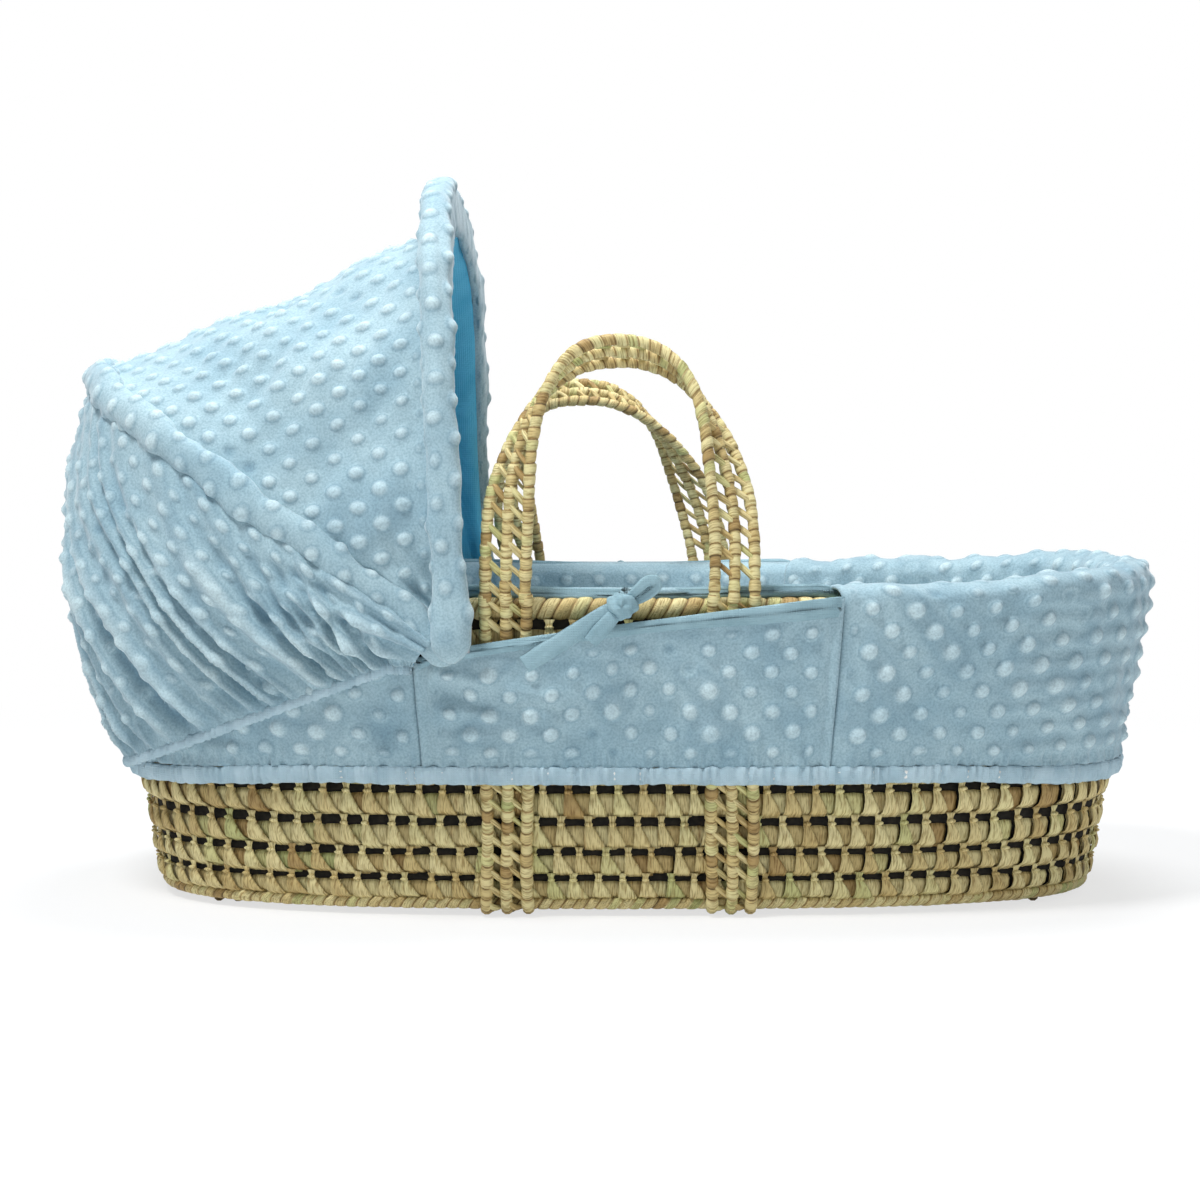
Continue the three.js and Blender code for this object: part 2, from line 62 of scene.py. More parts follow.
# The heights at which each course of stitches meets the next.
COURSE_LEVELS = [14, 33, 53, 77, 102, 127, 152, 177, 202, 224]
STITCH_PITCH = 18.5
LEAF_THICKNESS = 0.5
CORE_FRONT, CORE_BACK = -4.2, -11.6
# The upper leaves are numbered apart from the lower ones, so that their tones differ.
UPPER_LEAVES = 400
BASE_RINGS = 12
MAT_THICKNESS = 3.0

# The seams where the end panels meet the side panels, and the side panels' upper edge at each.
SEAMS = (-133.0, 156.0)
SIDE_EDGE = (196.0, 240.0)
SKIRT_OFFSET, SKIRT_TAPER = 13.0, 5.0
SKIRT_BOTTOM = 107.0
HEM_MIDDLE = 100.0
HEM_LIFT = 9.0
ROLL_CENTRE, ROLL_HALF_WIDTH, ROLL_SPRING, ROLL_RISE, ROLL_TUCK = -6.5, 19.7, 236.0, 14.0, 196.0
# The length of cloth from the roll's spring to its crown, and from there down inside.
ROLL_ARC, ROLL_DROP = 26.0, 40.0
LINING_OFFSET, LINING_TOP, LINING_BOTTOM = -22.6, 247.0, 22.0
LINING_END_TOP = 232.0
PLUSH_THICKNESS, LINING_THICKNESS, HOOD_LINING_THICKNESS = 2.0, 4.0, 0.8
# The folds at the side panel's slack head corner: height, slope, width and depth.
SLACK_FOLDS = ((188, -0.22, 6, 4.6), (176, -0.36, 5, -3.4), (160, -0.10, 7, 3.2), (143, 0.14, 6, -2.2))

DOT_PITCH, DOT_ROWS, DOT_RADIUS, DOT_HEIGHT = 29.0, 31.0, 7.3, 4.3
SEAM_DEPTH, SEAM_WIDTH = 2.4, 2.5

MATTRESS_OFFSET, MATTRESS_MIDDLE, MATTRESS_HALF_HEIGHT = -25.8, 36.9, 17.8
QUILT_PITCH, QUILT_DEPTH = 60.0, 1.6

STRAP_TOP, STRAP_FLOOR, STRAP_BEND = 243.0, 5.5, 9.0
STRAP_OFFSET_TOP, STRAP_OFFSET_FLOOR = 4.9, 5.2
RUNNER_X, RUNNER_REACH, RUNNER_Z, RUNNER_POINTS = 297.0, 112.0, 5.3, 90
HANDLE_X = 7.0
HANDLE_HALF_SPAN = 83.0
HANDLE_PIVOT_Z = 242.0
HANDLE_OFFSET = 4.5
HANDLE_START = 5.0
HANDLE_FOOT = 11.0
HANDLE_POWER = 2.4
HANDLE_LEAN = 36.0
HANDLE_TWIST = math.radians(120)
# Each handle's name, side, height and how far its top leans along the basket.
HANDLES = (("near", -1, 172.0, 0.0), ("far", 1, 149.0, -30.0))
RAIL_PITCH = 15.0
RAIL_RADIUS = 4.1

# Points along each tape of a tie: x, steps out from the panel, and z.
TIE_TAIL = ((8, 0, 237), (-4, 2, 231), (-24, 3, 217), (-46, 3, 203), (-64, 2, 192))
TIE_SHORT_TAIL = ((9, 0, 235), (0, 3, 226), (-8, 4, 217), (-15, 3, 209))
TIE_OVER_RIM = ((12, -13, 243), (11, -8, 244), (10, -4, 243), (8, 0, 238), (12, 0, 226))
TIE_STEP = 2.0
TIE_KNOT_X, TIE_KNOT_Z = 8, 235

PIVOT_X, PIVOT_Z = -113.5, 209.0
HOOP_POWER = 2.5
FRONT_ANGLE, FRONT_REACH, FRONT_HALF_WIDTH = math.radians(86.8), 341.0, 225.0
REAR_ANGLE, REAR_REACH, REAR_HALF_WIDTH = math.radians(34.2), 349.0, 220.0
# The hood's cloth leaves this share of the hoop bare at its first foot, and spans this share.
CLOTH_START, CLOTH_SPAN = 0.012, 0.976
HOOD_EDGE_LOW, HOOD_EDGE_HIGH, HOOD_EDGE_OFFSET = 103.0, 190.0, 17.0
HOOD_EDGE_TURN = math.radians(69)

# Camera and lamps, in metres, degrees and watts. A lamp has a place, a target, a width and a power.
CAMERA_PLACE, CAMERA_TILT, CAMERA_LENS, CAMERA_SENSOR = (-0.0075, -2.0, 0.3526), 3.64, 74.6, 36.0
LAMPS = {
    "key": ((-0.8, -0.9, 2.3), (0, 0, 0.25), 0.6, 50),
    "top": ((0.2, 0.5, 2.5), (0, 0, 0.2), 1.2, 46),
    "fill": ((1.8, -1.8, 0.9), (0, 0, 0.2), 1.6, 6),
}
FLOOR_HALF_WIDTH = 12.0


# Numbers along the outline


def smooth(value, low, high):
    """0 below low and 1 above high, with a soft rise between."""
    t = np.clip((value - low) / (high - low), 0, 1)
    return t * t * (3 - 2 * t)


def signed_power(value, power):
    return np.sign(value) * np.abs(value) ** power


def bell(value, width):
    """1 at 0, falling away to nothing within about two widths."""
    return np.exp(-((value / width) ** 2))


def unit(vectors):
    return vectors / np.linalg.norm(vectors, axis=1, keepdims=True)


def run_along(points):
    """How far along a line each of its points is."""
    steps = np.linalg.norm(np.diff(points, axis=0), axis=1)
    return np.concatenate([[0], np.cumsum(steps)])


def on_line(distance, places, points):
    """Where a line is at each distance, from its points and how far along they are."""
    columns = [np.interp(distance, places, points[:, k]) for k in range(points.shape[1])]
    return np.stack(columns, axis=-1)


def chance(*keys):
    """A steady pseudo-random number from 0 to 1 for each set of whole numbers."""
    mixed = sum(np.asarray(key) * factor for key, factor in zip(keys, (12.9898, 78.233, 37.719)))
    return np.mod(np.sin(mixed + 4.1) * 43758.5453, 1.0)


def drift(a, b, wavelength, seed):
    """Slow waves over (a, b), about -1 to 1, as cloth that isn't quite flat has."""
    rng = np.random.default_rng(seed)
    total = 0
    for _ in range(6):
        heading, phase = rng.uniform(0, 2 * math.pi, 2)
        turn = 2 * math.pi / (wavelength * rng.uniform(0.7, 1.5))
        total = total + np.sin(turn * (a * math.cos(heading) + b * math.sin(heading)) + phase)
    return total / 3


def plan(angle, offset, z):
    """How far along and across the wall is from the basket's middle."""
    c, s = np.cos(angle), np.sin(angle)
    reach = (np.abs(c) ** OUTLINE_POWER + np.abs(s) ** OUTLINE_POWER) ** (-1 / OUTLINE_POWER)
    flare = RIM_FLARE * z / RIM_HEIGHT
    along = (BASE_HALF_LENGTH + flare + offset) * reach * c
    across = (BASE_HALF_WIDTH + flare + offset) * reach * s
    return along, across


ANGLES = np.linspace(-math.pi, math.pi, 4001)
PLAN_X, PLAN_Y = plan(ANGLES, 0, 120.0)
LENGTHS = np.concatenate([[0], np.cumsum(np.hypot(np.diff(PLAN_X), np.diff(PLAN_Y)))])
GIRTH = LENGTHS[-1]


def outline(angle, offset, z):
    along, across = plan(angle, offset, z)
    rise = END_RISE * smooth(np.abs(along), END_RISE_FROM, END_RISE_TO)
    return np.stack([BASKET_X + along, across, z + rise * (z / RIM_HEIGHT) ** 2], axis=-1)


def wall(share, offset, z):
    """A point on the wall. share goes round from the head end, past the near side, 0 to 1."""
    angle = np.interp(np.mod(share, 1.0), LENGTHS / GIRTH, ANGLES)
    return outline(angle, offset, z)


def wall_x(share, offset, z):
    return wall(share, offset, z)[..., 0]


def share_at(x):
    """The share of the girth where the near wall is at x."""
    half = len(ANGLES) // 2
    return np.interp(x - BASKET_X, PLAN_X[: half + 1], LENGTHS[: half + 1] / GIRTH)


def hem_lift(share, z):
    """How much higher the hem hangs along the sides than round the ends."""
    along = np.abs(wall_x(share, 0, HEM_MIDDLE) - BASKET_X)
    return HEM_LIFT * (1 - smooth(along, 210.0, 370.0)) * np.clip((190.0 - z) / 90.0, 0, 1)


def skirt(share):
    """How far the cover stands off the wall: over the straps at the sides, closer at the ends."""
    along = np.abs(wall_x(share, 0, HEM_MIDDLE) - BASKET_X)
    return SKIRT_OFFSET - SKIRT_TAPER * smooth(along, 200.0, 370.0)


# Mesh making


def to_mesh(bm, name):
    mesh = bpy.data.meshes.new(name)
    bm.to_mesh(mesh)
    bm.free()
    return mesh


def corners_of(mesh):
    """The mesh's points in metres, one to a row."""
    corners = np.empty(3 * len(mesh.vertices))
    mesh.vertices.foreach_get("co", corners)
    return corners.reshape(-1, 3)


def set_corners(mesh, points, facts=None):
    """Moves the mesh's points to these, in millimetres, and keeps the facts at them."""
    mesh.vertices.foreach_set("co", (points * MM).ravel())
    for label, values in (facts or {}).items():
        add_fact(mesh, label, values)


def patch(name, columns, rows, place, wrap=False, turned=False):
    """A sheet of columns by rows faces whose corners are at place(u, v), u and v from 0 to 1."""
    bm = bmesh.new()
    bmesh.ops.create_grid(bm, x_segments=columns, y_segments=rows, size=0.5)
    if turned:
        bmesh.ops.reverse_faces(bm, faces=bm.faces[:])
    mesh = to_mesh(bm, name)
    corners = corners_of(mesh)
    placed = place(corners[:, 0] + 0.5, corners[:, 1] + 0.5)
    points, facts = placed if isinstance(placed, tuple) else (placed, {})
    set_corners(mesh, points, facts)
    if wrap:
        mend(mesh)
    return mesh


def add_fact(mesh, label, values):
    """A number or a vector kept at each vertex, for a material or a fold to read."""
    values = np.asarray(values, dtype=np.float32)
    kind, key = ("FLOAT", "value") if values.ndim == 1 else ("FLOAT_VECTOR", "vector")
    mesh.attributes.new(label, kind, "POINT").data.foreach_set(key, values.ravel())


def mend(mesh):
    """Joins a wrapped sheet's meeting edges, fills open ends and turns its faces outwards."""
    bm = bmesh.new()
    bm.from_mesh(mesh)
    bmesh.ops.remove_doubles(bm, verts=bm.verts[:], dist=2e-6)
    rim = [edge for edge in bm.edges if edge.is_boundary]
    if rim:
        bmesh.ops.holes_fill(bm, edges=rim, sides=0)
    bmesh.ops.recalc_face_normals(bm, faces=bm.faces[:])
    bm.to_mesh(mesh)
    bm.free()


def copies(name, base, count, place):
    """count copies of a base mesh. place(points, copy) puts them, where copy numbers each point."""
    bm = bmesh.new()
    for _ in range(count):
        bm.from_mesh(base)
    mesh = to_mesh(bm, name)
    copy = np.repeat(np.arange(count), len(base.vertices))
    points, facts = place(corners_of(mesh) / MM, copy)
    set_corners(mesh, points, facts)
    bpy.data.meshes.remove(base)
    return mesh


def piece(name, meshes, materials, body, node_names=(), wall_thickness=0.0, inner=None):
    """One object from several meshes, one material each, riding on a body in place of its CAD nodes."""
    bm = bmesh.new()
    for index, mesh in enumerate(meshes):
        start = len(bm.faces)
        bm.from_mesh(mesh)
        bm.faces.ensure_lookup_table()
        for face in bm.faces[start:]:
            face.material_index = index
            face.smooth = True
        bpy.data.meshes.remove(mesh)
    joined = to_mesh(bm, name)
    made = bpy.data.objects.new(name, joined)
    bpy.context.scene.collection.objects.link(made)
    for material in materials:
        joined.materials.append(material)
    if wall_thickness:
        solid = made.modifiers.new("Solidify", "SOLIDIFY")
        solid.thickness = wall_thickness * MM
        solid.offset = -1
        if inner:
            joined.materials.append(inner)
            solid.material_offset = len(materials)
    if body:
        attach(made, body)
    if node_names:
        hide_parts(*node_names)
    return made


# Materials


def linear(colour):
    """An sRGB hex colour as the linear colour that a shader takes."""
    parts = [int(colour[i : i + 2], 16) / 255 for i in (1, 3, 5)]
    return [p / 12.92 if p <= 0.04045 else ((p + 0.055) / 1.055) ** 2.4 for p in parts] + [1.0]


def add_node(tree, kind, inputs=None, stops=(), **settings):
    """A node with its settings, its links and, on a colour ramp, its (position, hex) stops.

    An input is a value, or another node's output socket.
    """
    node = tree.nodes.new(kind)
    for key, value in settings.items():
        setattr(node, key, value)
    if stops:
        elements = node.color_ramp.elements
        while len(elements) < len(stops):
            elements.new(0.5)
        for element, (position, colour) in zip(elements, stops):
            element.position = position
            element.color = linear(colour)
    for key, value in (inputs or {}).items():
        if isinstance(value, bpy.types.NodeSocket):
            tree.links.new(value, node.inputs[key])
        else:
            node.inputs[key].default_value = value
    return node


# A Mix node's colour sockets go by number: 0 is the factor, 6 and 7 the colours, 2 the result.
MULTIPLY = {"data_type": "RGBA", "blend_type": "MULTIPLY"}


def blank_material(name, **surface):
    """A material with a Principled surface: the material, its tree and the surface node."""
    material = bpy.data.materials.new(name)
    material.use_nodes = True
    tree = material.node_tree
    tree.nodes.clear()
    shader = add_node(tree, "ShaderNodeBsdfPrincipled", surface)
    add_node(tree, "ShaderNodeOutputMaterial", {"Surface": shader.outputs["BSDF"]})
    return material, tree, shader


def plush(name, hue, shade):
    """Minky plush: a short brushed polyester pile, matt with a pale bloom where it turns away."""
    look = {"Roughness": 0.92, "Sheen Weight": 0.35, "Sheen Roughness": 0.45}
    material, tree, shader = blank_material(name, **look)
    place = add_node(tree, "ShaderNodeTexCoord").outputs["Object"]
    patches = add_node(tree, "ShaderNodeTexNoise", {"Vector": place, "Scale": 22.0, "Detail": 3.0})
    pile = add_node(tree, "ShaderNodeTexNoise", {"Vector": place, "Scale": 620.0, "Detail": 2.0})
    brushed = add_node(
        tree, "ShaderNodeValToRGB", {"Fac": patches.outputs["Fac"]},
        stops=[(0.3, shade), (0.62, hue)],
    )
    # Painted light and shade: the dot tops are painted pale as if lit, a ring round each dot darker as if
    # shaded, and the hollows of folds darker still.
    raised = add_node(tree, "ShaderNodeAttribute", attribute_name="raised").outputs["Fac"]
    level = add_node(tree, "ShaderNodeMapRange", {"Value": raised, "From Min": -0.6})
    dot_light_and_shade = add_node(
        tree, "ShaderNodeValToRGB", {"Fac": level.outputs["Result"]},
        stops=[(0.0, "#A3B9C6"), (0.37, "#DBE5EA"), (0.44, "#C3D1D9"), (0.72, "#FFFFFF")],
    )
    dotted = add_node(
        tree, "ShaderNodeMix",
        {0: 1.0, 6: brushed.outputs["Color"], 7: dot_light_and_shade.outputs["Color"]}, **MULTIPLY,
    )
    pale = add_node(
        tree, "ShaderNodeValToRGB", {"Fac": pile.outputs["Fac"]},
        stops=[(0.32, "#BEC6CA"), (0.62, "#FFFFFF")],
    )
    colour = add_node(
        tree, "ShaderNodeMix", {0: 0.5, 6: dotted.outputs[2], 7: pale.outputs["Color"]}, **MULTIPLY
    )
    tree.links.new(colour.outputs[2], shader.inputs["Base Color"])
    # The pile's own tufts are under half a millimetre, so they are drawn at about two.
    bump = add_node(
        tree, "ShaderNodeBump",
        {"Height": pile.outputs["Fac"], "Distance": 0.0009, "Strength": 0.33},
    )
    tree.links.new(bump.outputs["Normal"], shader.inputs["Normal"])
    return material


def woven(name, hue, shade, thread=0.9):
    """Plain woven polycotton: fine crossed threads, matt, with soft creases."""
    material, tree, shader = blank_material(name, Roughness=0.85)
    place = add_node(tree, "ShaderNodeTexCoord").outputs["Object"]
    creases = add_node(tree, "ShaderNodeTexNoise", {"Vector": place, "Scale": 45.0, "Detail": 4.0})
    # Painted shade: the cloth's colour is darker where the crease bump dips, so the creases' hollows are
    # painted darker.
    colour = add_node(
        tree, "ShaderNodeValToRGB", {"Fac": creases.outputs["Fac"]}, stops=[(0.3, shade), (0.65, hue)]
    )
    # One wave is a pair of threads, and at scale 1 the texture has about pi waves to the metre.
    # The threads are drawn about three times as coarse as such cloth's, so that they show.
    scale = 1 / (2 * thread * MM) / math.pi
    heights = None
    for direction in ("X", "Y", "Z"):
        wave = add_node(
            tree, "ShaderNodeTexWave", {"Vector": place, "Scale": scale, "Distortion": 0.6},
            bands_direction=direction,
        )
        if heights is None:
            heights = wave.outputs["Fac"]
        else:
            both = {0: heights, 1: wave.outputs["Fac"]}
            heights = add_node(tree, "ShaderNodeMath", both, operation="ADD").outputs[0]
    bump = add_node(tree, "ShaderNodeBump", {"Height": heights, "Distance": 0.0002, "Strength": 0.6})
    wrinkle = add_node(tree, "ShaderNodeBump", {
        "Height": creases.outputs["Fac"], "Distance": 0.002, "Strength": 0.5,
        "Normal": bump.outputs["Normal"],
    })
    tree.links.new(colour.outputs["Color"], shader.inputs["Base Color"])
    tree.links.new(wrinkle.outputs["Normal"], shader.inputs["Normal"])
    return material


def palm_leaf():
    """Dried palm leaf: pale straw with green and brown leaves among it, ribbed along its length."""
    look = {"Roughness": 0.62, "Specular IOR Level": 0.35}
    material, tree, shader = blank_material("dried_palm_leaf", **look)
    tone = add_node(tree, "ShaderNodeAttribute", attribute_name="leaf_tone").outputs["Fac"]
    grain = add_node(tree, "ShaderNodeAttribute", attribute_name="leaf_grain").outputs["Vector"]
    leaf = add_node(tree, "ShaderNodeValToRGB", {"Fac": tone}, stops=[
        (0.0, "#5C4D2F"), (0.1, "#B0945F"), (0.3, "#CFBA80"),
        (0.55, "#E3D6A0"), (0.75, "#D0CB8E"), (1.0, "#AEB576"),
    ])
    # Ribs run along the leaf about 1 mm apart. Grain is (across, along, leaf number) in metres.
    stretched = add_node(tree, "ShaderNodeMapping", {"Vector": grain, "Scale": (1.0, 0.12, 1.0)})
    ribs = add_node(
        tree, "ShaderNodeTexNoise",
        {"Vector": stretched.outputs["Vector"], "Scale": 900.0, "Detail": 3.0},
    )
    blotches = add_node(
        tree, "ShaderNodeTexNoise",
        {"Vector": stretched.outputs["Vector"], "Scale": 170.0, "Detail": 4.0},
    )
    streaks = add_node(
        tree, "ShaderNodeValToRGB", {"Fac": ribs.outputs["Fac"]},
        stops=[(0.34, "#9C8558"), (0.54, "#FFFFFF")],
    )
    streaked = add_node(
        tree, "ShaderNodeMix",
        {0: 0.75, 6: leaf.outputs["Color"], 7: streaks.outputs["Color"]}, **MULTIPLY,
    )
    dry = add_node(
        tree, "ShaderNodeValToRGB", {"Fac": blotches.outputs["Fac"]},
        stops=[(0.62, "#FFFFFF"), (0.76, "#B98F5C")],
    )
    colour = add_node(
        tree, "ShaderNodeMix", {0: 0.55, 6: streaked.outputs[2], 7: dry.outputs["Color"]}, **MULTIPLY
    )
    bump = add_node(
        tree, "ShaderNodeBump", {"Height": ribs.outputs["Fac"], "Distance": 0.0008, "Strength": 0.7}
    )
    tree.links.new(colour.outputs[2], shader.inputs["Base Color"])
    tree.links.new(bump.outputs["Normal"], shader.inputs["Normal"])
    return material


def painted_shade_grass_core():
    """The coil's core of dried grass in the gaps between the stitches, coloured nearly black as painted
    shade for the gaps' depth.
    """
    material, tree, shader = blank_material("painted_shade_grass_core", Roughness=0.95)
    place = add_node(tree, "ShaderNodeTexCoord").outputs["Object"]
    noise = add_node(tree, "ShaderNodeTexNoise", {"Vector": place, "Scale": 260.0})
    colour = add_node(
        tree, "ShaderNodeValToRGB", {"Fac": noise.outputs["Fac"]},
        stops=[(0.35, "#15130F"), (0.7, "#2E2A22")],
    )
    tree.links.new(colour.outputs["Color"], shader.inputs["Base Color"])
    return material


def zinc_steel():
    """Zinc-plated spring steel: a satin grey metal, faintly mottled by its plating."""
    material, tree, shader = blank_material("zinc_plated_steel", Metallic=1.0, Roughness=0.35)
    place = add_node(tree, "ShaderNodeTexCoord").outputs["Object"]
    noise = add_node(tree, "ShaderNodeTexNoise", {"Vector": place, "Scale": 300.0, "Detail": 2.0})
    colour = add_node(
        tree, "ShaderNodeValToRGB", {"Fac": noise.outputs["Fac"]},
        stops=[(0.3, "#A9ADB2"), (0.7, "#C8CBCF")],
    )
    tree.links.new(colour.outputs["Color"], shader.inputs["Base Color"])
    return material


def open_foam():
    """Polyurethane foam: cream and matt, with open cells a millimetre or so wide."""
    material, tree, shader = blank_material("polyurethane_foam", Roughness=0.95)
    place = add_node(tree, "ShaderNodeTexCoord").outputs["Object"]
    cells = add_node(tree, "ShaderNodeTexVoronoi", {"Vector": place, "Scale": 700.0})
    colour = add_node(
        tree, "ShaderNodeValToRGB", {"Fac": cells.outputs["Distance"]},
        stops=[(0.0, "#DDD5BC"), (0.5, "#F3EDDA")],
    )
    tree.links.new(colour.outputs["Color"], shader.inputs["Base Color"])
    bump = add_node(tree, "ShaderNodeBump", {"Height": cells.outputs["Distance"], "Distance": 0.0006})
    tree.links.new(bump.outputs["Normal"], shader.inputs["Normal"])
    return material


PLUSH = plush("dotted_minky_plush", "#C1D6DB", "#AEC8D1")
BINDING = woven("woven_cotton_binding", "#B2C9D3", "#9BB6C2")
TIE_TAPE = woven("woven_cotton_tape", "#93B2BC", "#7D9DA8")
LINING = woven("plain_blue_lining", "#5DB9DC", "#4BA9CF")
TICKING = woven("white_cotton_ticking", "#F1F3F2", "#E2E6E6")
ELASTIC = woven("white_braided_elastic", "#EEEEEA", "#DADAD4", thread=1.2)
PALM = palm_leaf()
SHADED_CORE = painted_shade_grass_core()
STEEL = zinc_steel()
FOAM = open_foam()


# The woven wall


def leaf_facts(across, along, leaf, tone):
    """What the palm material reads: a leaf's tone, and where on which leaf a point is."""
    grain = np.stack([across * MM, along * MM, leaf * 0.37], axis=-1)
    return {"leaf_tone": np.clip(tone, 0, 1), "leaf_grain": grain}


def leaf_tone(leaf, row):
    """Most leaves are pale straw, and some are brown or still green."""
    kind = chance(leaf, row, 3)
    green_zone = 0.5 + 0.5 * np.sin(leaf * 0.19 + row * 2.3)
    straw = 0.22 + 0.42 * chance(leaf, row, 5) + 0.34 * green_zone * (kind > 0.66)
    return np.where(kind < 0.06, 0.1, straw)


def fan_leaf():
    """One stitch: a folded leaf pinched at its knot, fanning out downwards over the coil."""

    def place(u, v):
        neck = smooth(v, 0.52, 0.68)
        left = -4.0 * (1 - v) - 1.9 * v - 1.6 * smooth(v, 0.84, 1)
        right = 2.1 + 9.6 * (1 - np.clip(v / 0.66, 0, 1)) ** 0.75 + 1.6 * smooth(v, 0.84, 1)
        across = left + (right - left) * u
        body = np.abs(np.sin(math.pi * np.clip(v / 0.68, 0, 1))) ** 0.7
        tucked = -3.4 * (1 - smooth(v, 0.0, 0.14))
        pleats = 0.75 * np.cos(5 * math.pi * u + 0.4) * (1 - neck)
        edges = -1.2 * (2 * u - 1) ** 4 * (1 - neck)
        depth = 1.3 + 1.7 * body + tucked + pleats + edges - 1.6 * neck
        return np.stack([across, depth, v], axis=-1)

    return patch("fan", 6, 7, place)


def under_leaf():
    """The leaf that shows between two fans, set a little deeper."""

    def place(u, v):
        across = 1.0 + 18.0 * u
        level = 0.63 * v + 0.04 * np.sin(math.pi * u) * v
        pleats = 0.45 * np.cos(5 * math.pi * u) - 0.8 * (2 * u - 1) ** 4
        tucked = -2.6 * (1 - smooth(v, 0.0, 0.14)) - 1.8 * smooth(v, 0.82, 1.0)
        return np.stack([across, -0.8 + pleats + tucked, level], axis=-1)

    return patch("under", 5, 4, place)


def knot_bead():
    """The twist of leaf drawn tight round each stitch's neck."""
    bm = bmesh.new()
    bmesh.ops.create_uvsphere(bm, u_segments=7, v_segments=5, radius=1.0)
    bmesh.ops.scale(bm, vec=(3.1 * MM, 2.3 * MM, 0.07 * MM), verts=bm.verts[:])
    bmesh.ops.translate(bm, vec=(0.1 * MM, 0.9 * MM, 0.74 * MM), verts=bm.verts[:])
    return to_mesh(bm, "knot")


def stitched_row(row, low, high):
    """The leaves of one course, laid round the basket and staggered against the row above."""
    count = round(GIRTH / STITCH_PITCH)
    pitch = GIRTH / count
    stagger = 0.28 * row

    def place_round(bold):
        def place(points, copy):
            across, depth, level = points[:, 0], points[:, 1], points[:, 2]
            width = 0.9 + 0.22 * chance(copy, row, 1)
            lean = 3.0 * (chance(copy, row, 2) - 0.5)
            place_along = (copy + stagger + 0.16 * (chance(copy, row, 4) - 0.5)) * pitch
            along = place_along + across * width + lean * (1 - level)
            swell = depth * (0.85 + 0.3 * chance(copy, row, 7)) + bold
            uneven = 2.8 * chance(copy, row, 11) * (1 - level) ** 3
            height = low + (high - low) * level - uneven
            leaf = copy + (0 if bold else UPPER_LEAVES)
            facts = leaf_facts(across, height, leaf + 17 * row, leaf_tone(leaf, row))
            return wall(along / GIRTH, swell, height), facts

        return place

    return [
        copies("fans", fan_leaf(), count, place_round(0.6)),
        copies("unders", under_leaf(), count, place_round(0.0)),
        copies("knots", knot_bead(), count, place_round(0.6)),
    ]


def core_ring(low, high):
    """The grass core behind the stitches, seen only in the gaps."""
    offsets = np.array([CORE_FRONT, CORE_FRONT, CORE_BACK, CORE_BACK, CORE_FRONT])
    heights = np.array([low, high, high, low, low], dtype=float)

    def place(u, v):
        corner = np.clip(np.round(v * 4).astype(int), 0, 4)
        return wall(u, offsets[corner], heights[corner])

    return patch("core", 200, 4, place, wrap=True)


def thicken(meshes, thickness):
    """Gives thin leaves their thickness, so that each is a closed solid."""
    for mesh in meshes:
        bm = bmesh.new()
        bm.from_mesh(mesh)
        bmesh.ops.recalc_face_normals(bm, faces=bm.faces[:])
        if any(edge.is_boundary for edge in bm.edges):
            bmesh.ops.solidify(bm, geom=bm.faces[:], thickness=thickness * MM)
        bm.to_mesh(mesh)
        bm.free()
    return meshes


def make_wall():
    """The wall's courses, each a ring of stitches round its own stretch of core."""
    for course in range(1, len(COURSE_LEVELS)):
        low, high = COURSE_LEVELS[course - 1], COURSE_LEVELS[course]
        leaves = thicken(stitched_row(course, low, high), LEAF_THICKNESS)
        # The core ring's nearly black colour is painted shade for the gaps.
        materials = [PALM] * len(leaves) + [SHADED_CORE]
        rings = leaves + [core_ring(low, high)]
        piece(f"palm_course_{course}", rings, materials, "basket", [f"wall_course_{course}"])


def crease_shade(within):
    """How much darker a wrap is where the next one overlaps it."""
    return 0.55 * bell(np.minimum(within, 1 - within), 0.07)


def wound_coil(name, offset, z, radius, wrap_width, squash=1.0, seed=0):
    """A coil of grass wound with leaf, lying all the way round the basket."""
    wraps = round(GIRTH / wrap_width)

    def place(u, v):
        turn = u * wraps
        leaf = np.floor(turn + 1e-6) % wraps
        within = np.clip(turn - np.floor(turn + 1e-6), 0, 1)
        swell = 0.86 + 0.16 * np.sin(math.pi * within) ** 0.45 + 0.1 * (chance(leaf, seed, 1) - 0.5)
        spin = 2 * math.pi * v
        out = offset + radius * swell * np.cos(spin)
        up = z + radius * squash * swell * np.sin(spin)
        skew = 0.35 * np.sin(spin) * wrap_width / GIRTH
        tone = leaf_tone(leaf, 40 + seed) - crease_shade(within)
        facts = leaf_facts(turn * wrap_width, spin * radius, leaf, tone)
        return wall(u + skew, out, up), facts

    return patch(name, wraps * 7, 14, place, wrap=True)


def base_mat():
    """The base: one coil wound from the middle out, drawn as close oval rings."""

    def place(u, v):
        inwards = 1 - v
        ring = np.abs(np.sin(math.pi * BASE_RINGS * inwards))
        spot = wall(u, -5.0, 9.6)
        middle = np.array([BASKET_X, 0.0, 0.0])
        point = middle + (spot - middle) * (1 - inwards * 0.985)[:, None]
        ripple = 0.5 * np.sin(u * GIRTH * inwards.clip(0.2) * 0.25)
        point[:, 2] = 9.4 - 2.0 * ring**0.6 - ripple * 0.4
        leaf = np.floor(u * 104) + 31 * np.floor(BASE_RINGS * inwards)
        return point, leaf_facts(BASE_RINGS * inwards * 14, u * GIRTH, leaf, leaf_tone(leaf, 60))

    return patch("mat", 416, 72, place)


def make_rim_and_base():
    rim = wound_coil("rim", offset=-6.5, z=231.5, radius=8.4, wrap_width=11.0)
    piece("palm_rim_coil", [rim], [PALM], "basket", ["rim_coil"])
    edge = wound_coil("edge", offset=-4.0, z=9.4, radius=5.2, wrap_width=9.0, squash=0.9, seed=5)
    mat = base_mat()
    thicken([mat], MAT_THICKNESS)
    piece("palm_base_mat", [edge, mat], [PALM, PALM], "basket", ["basket_base"])


# Braided bands: three wound rails laced together


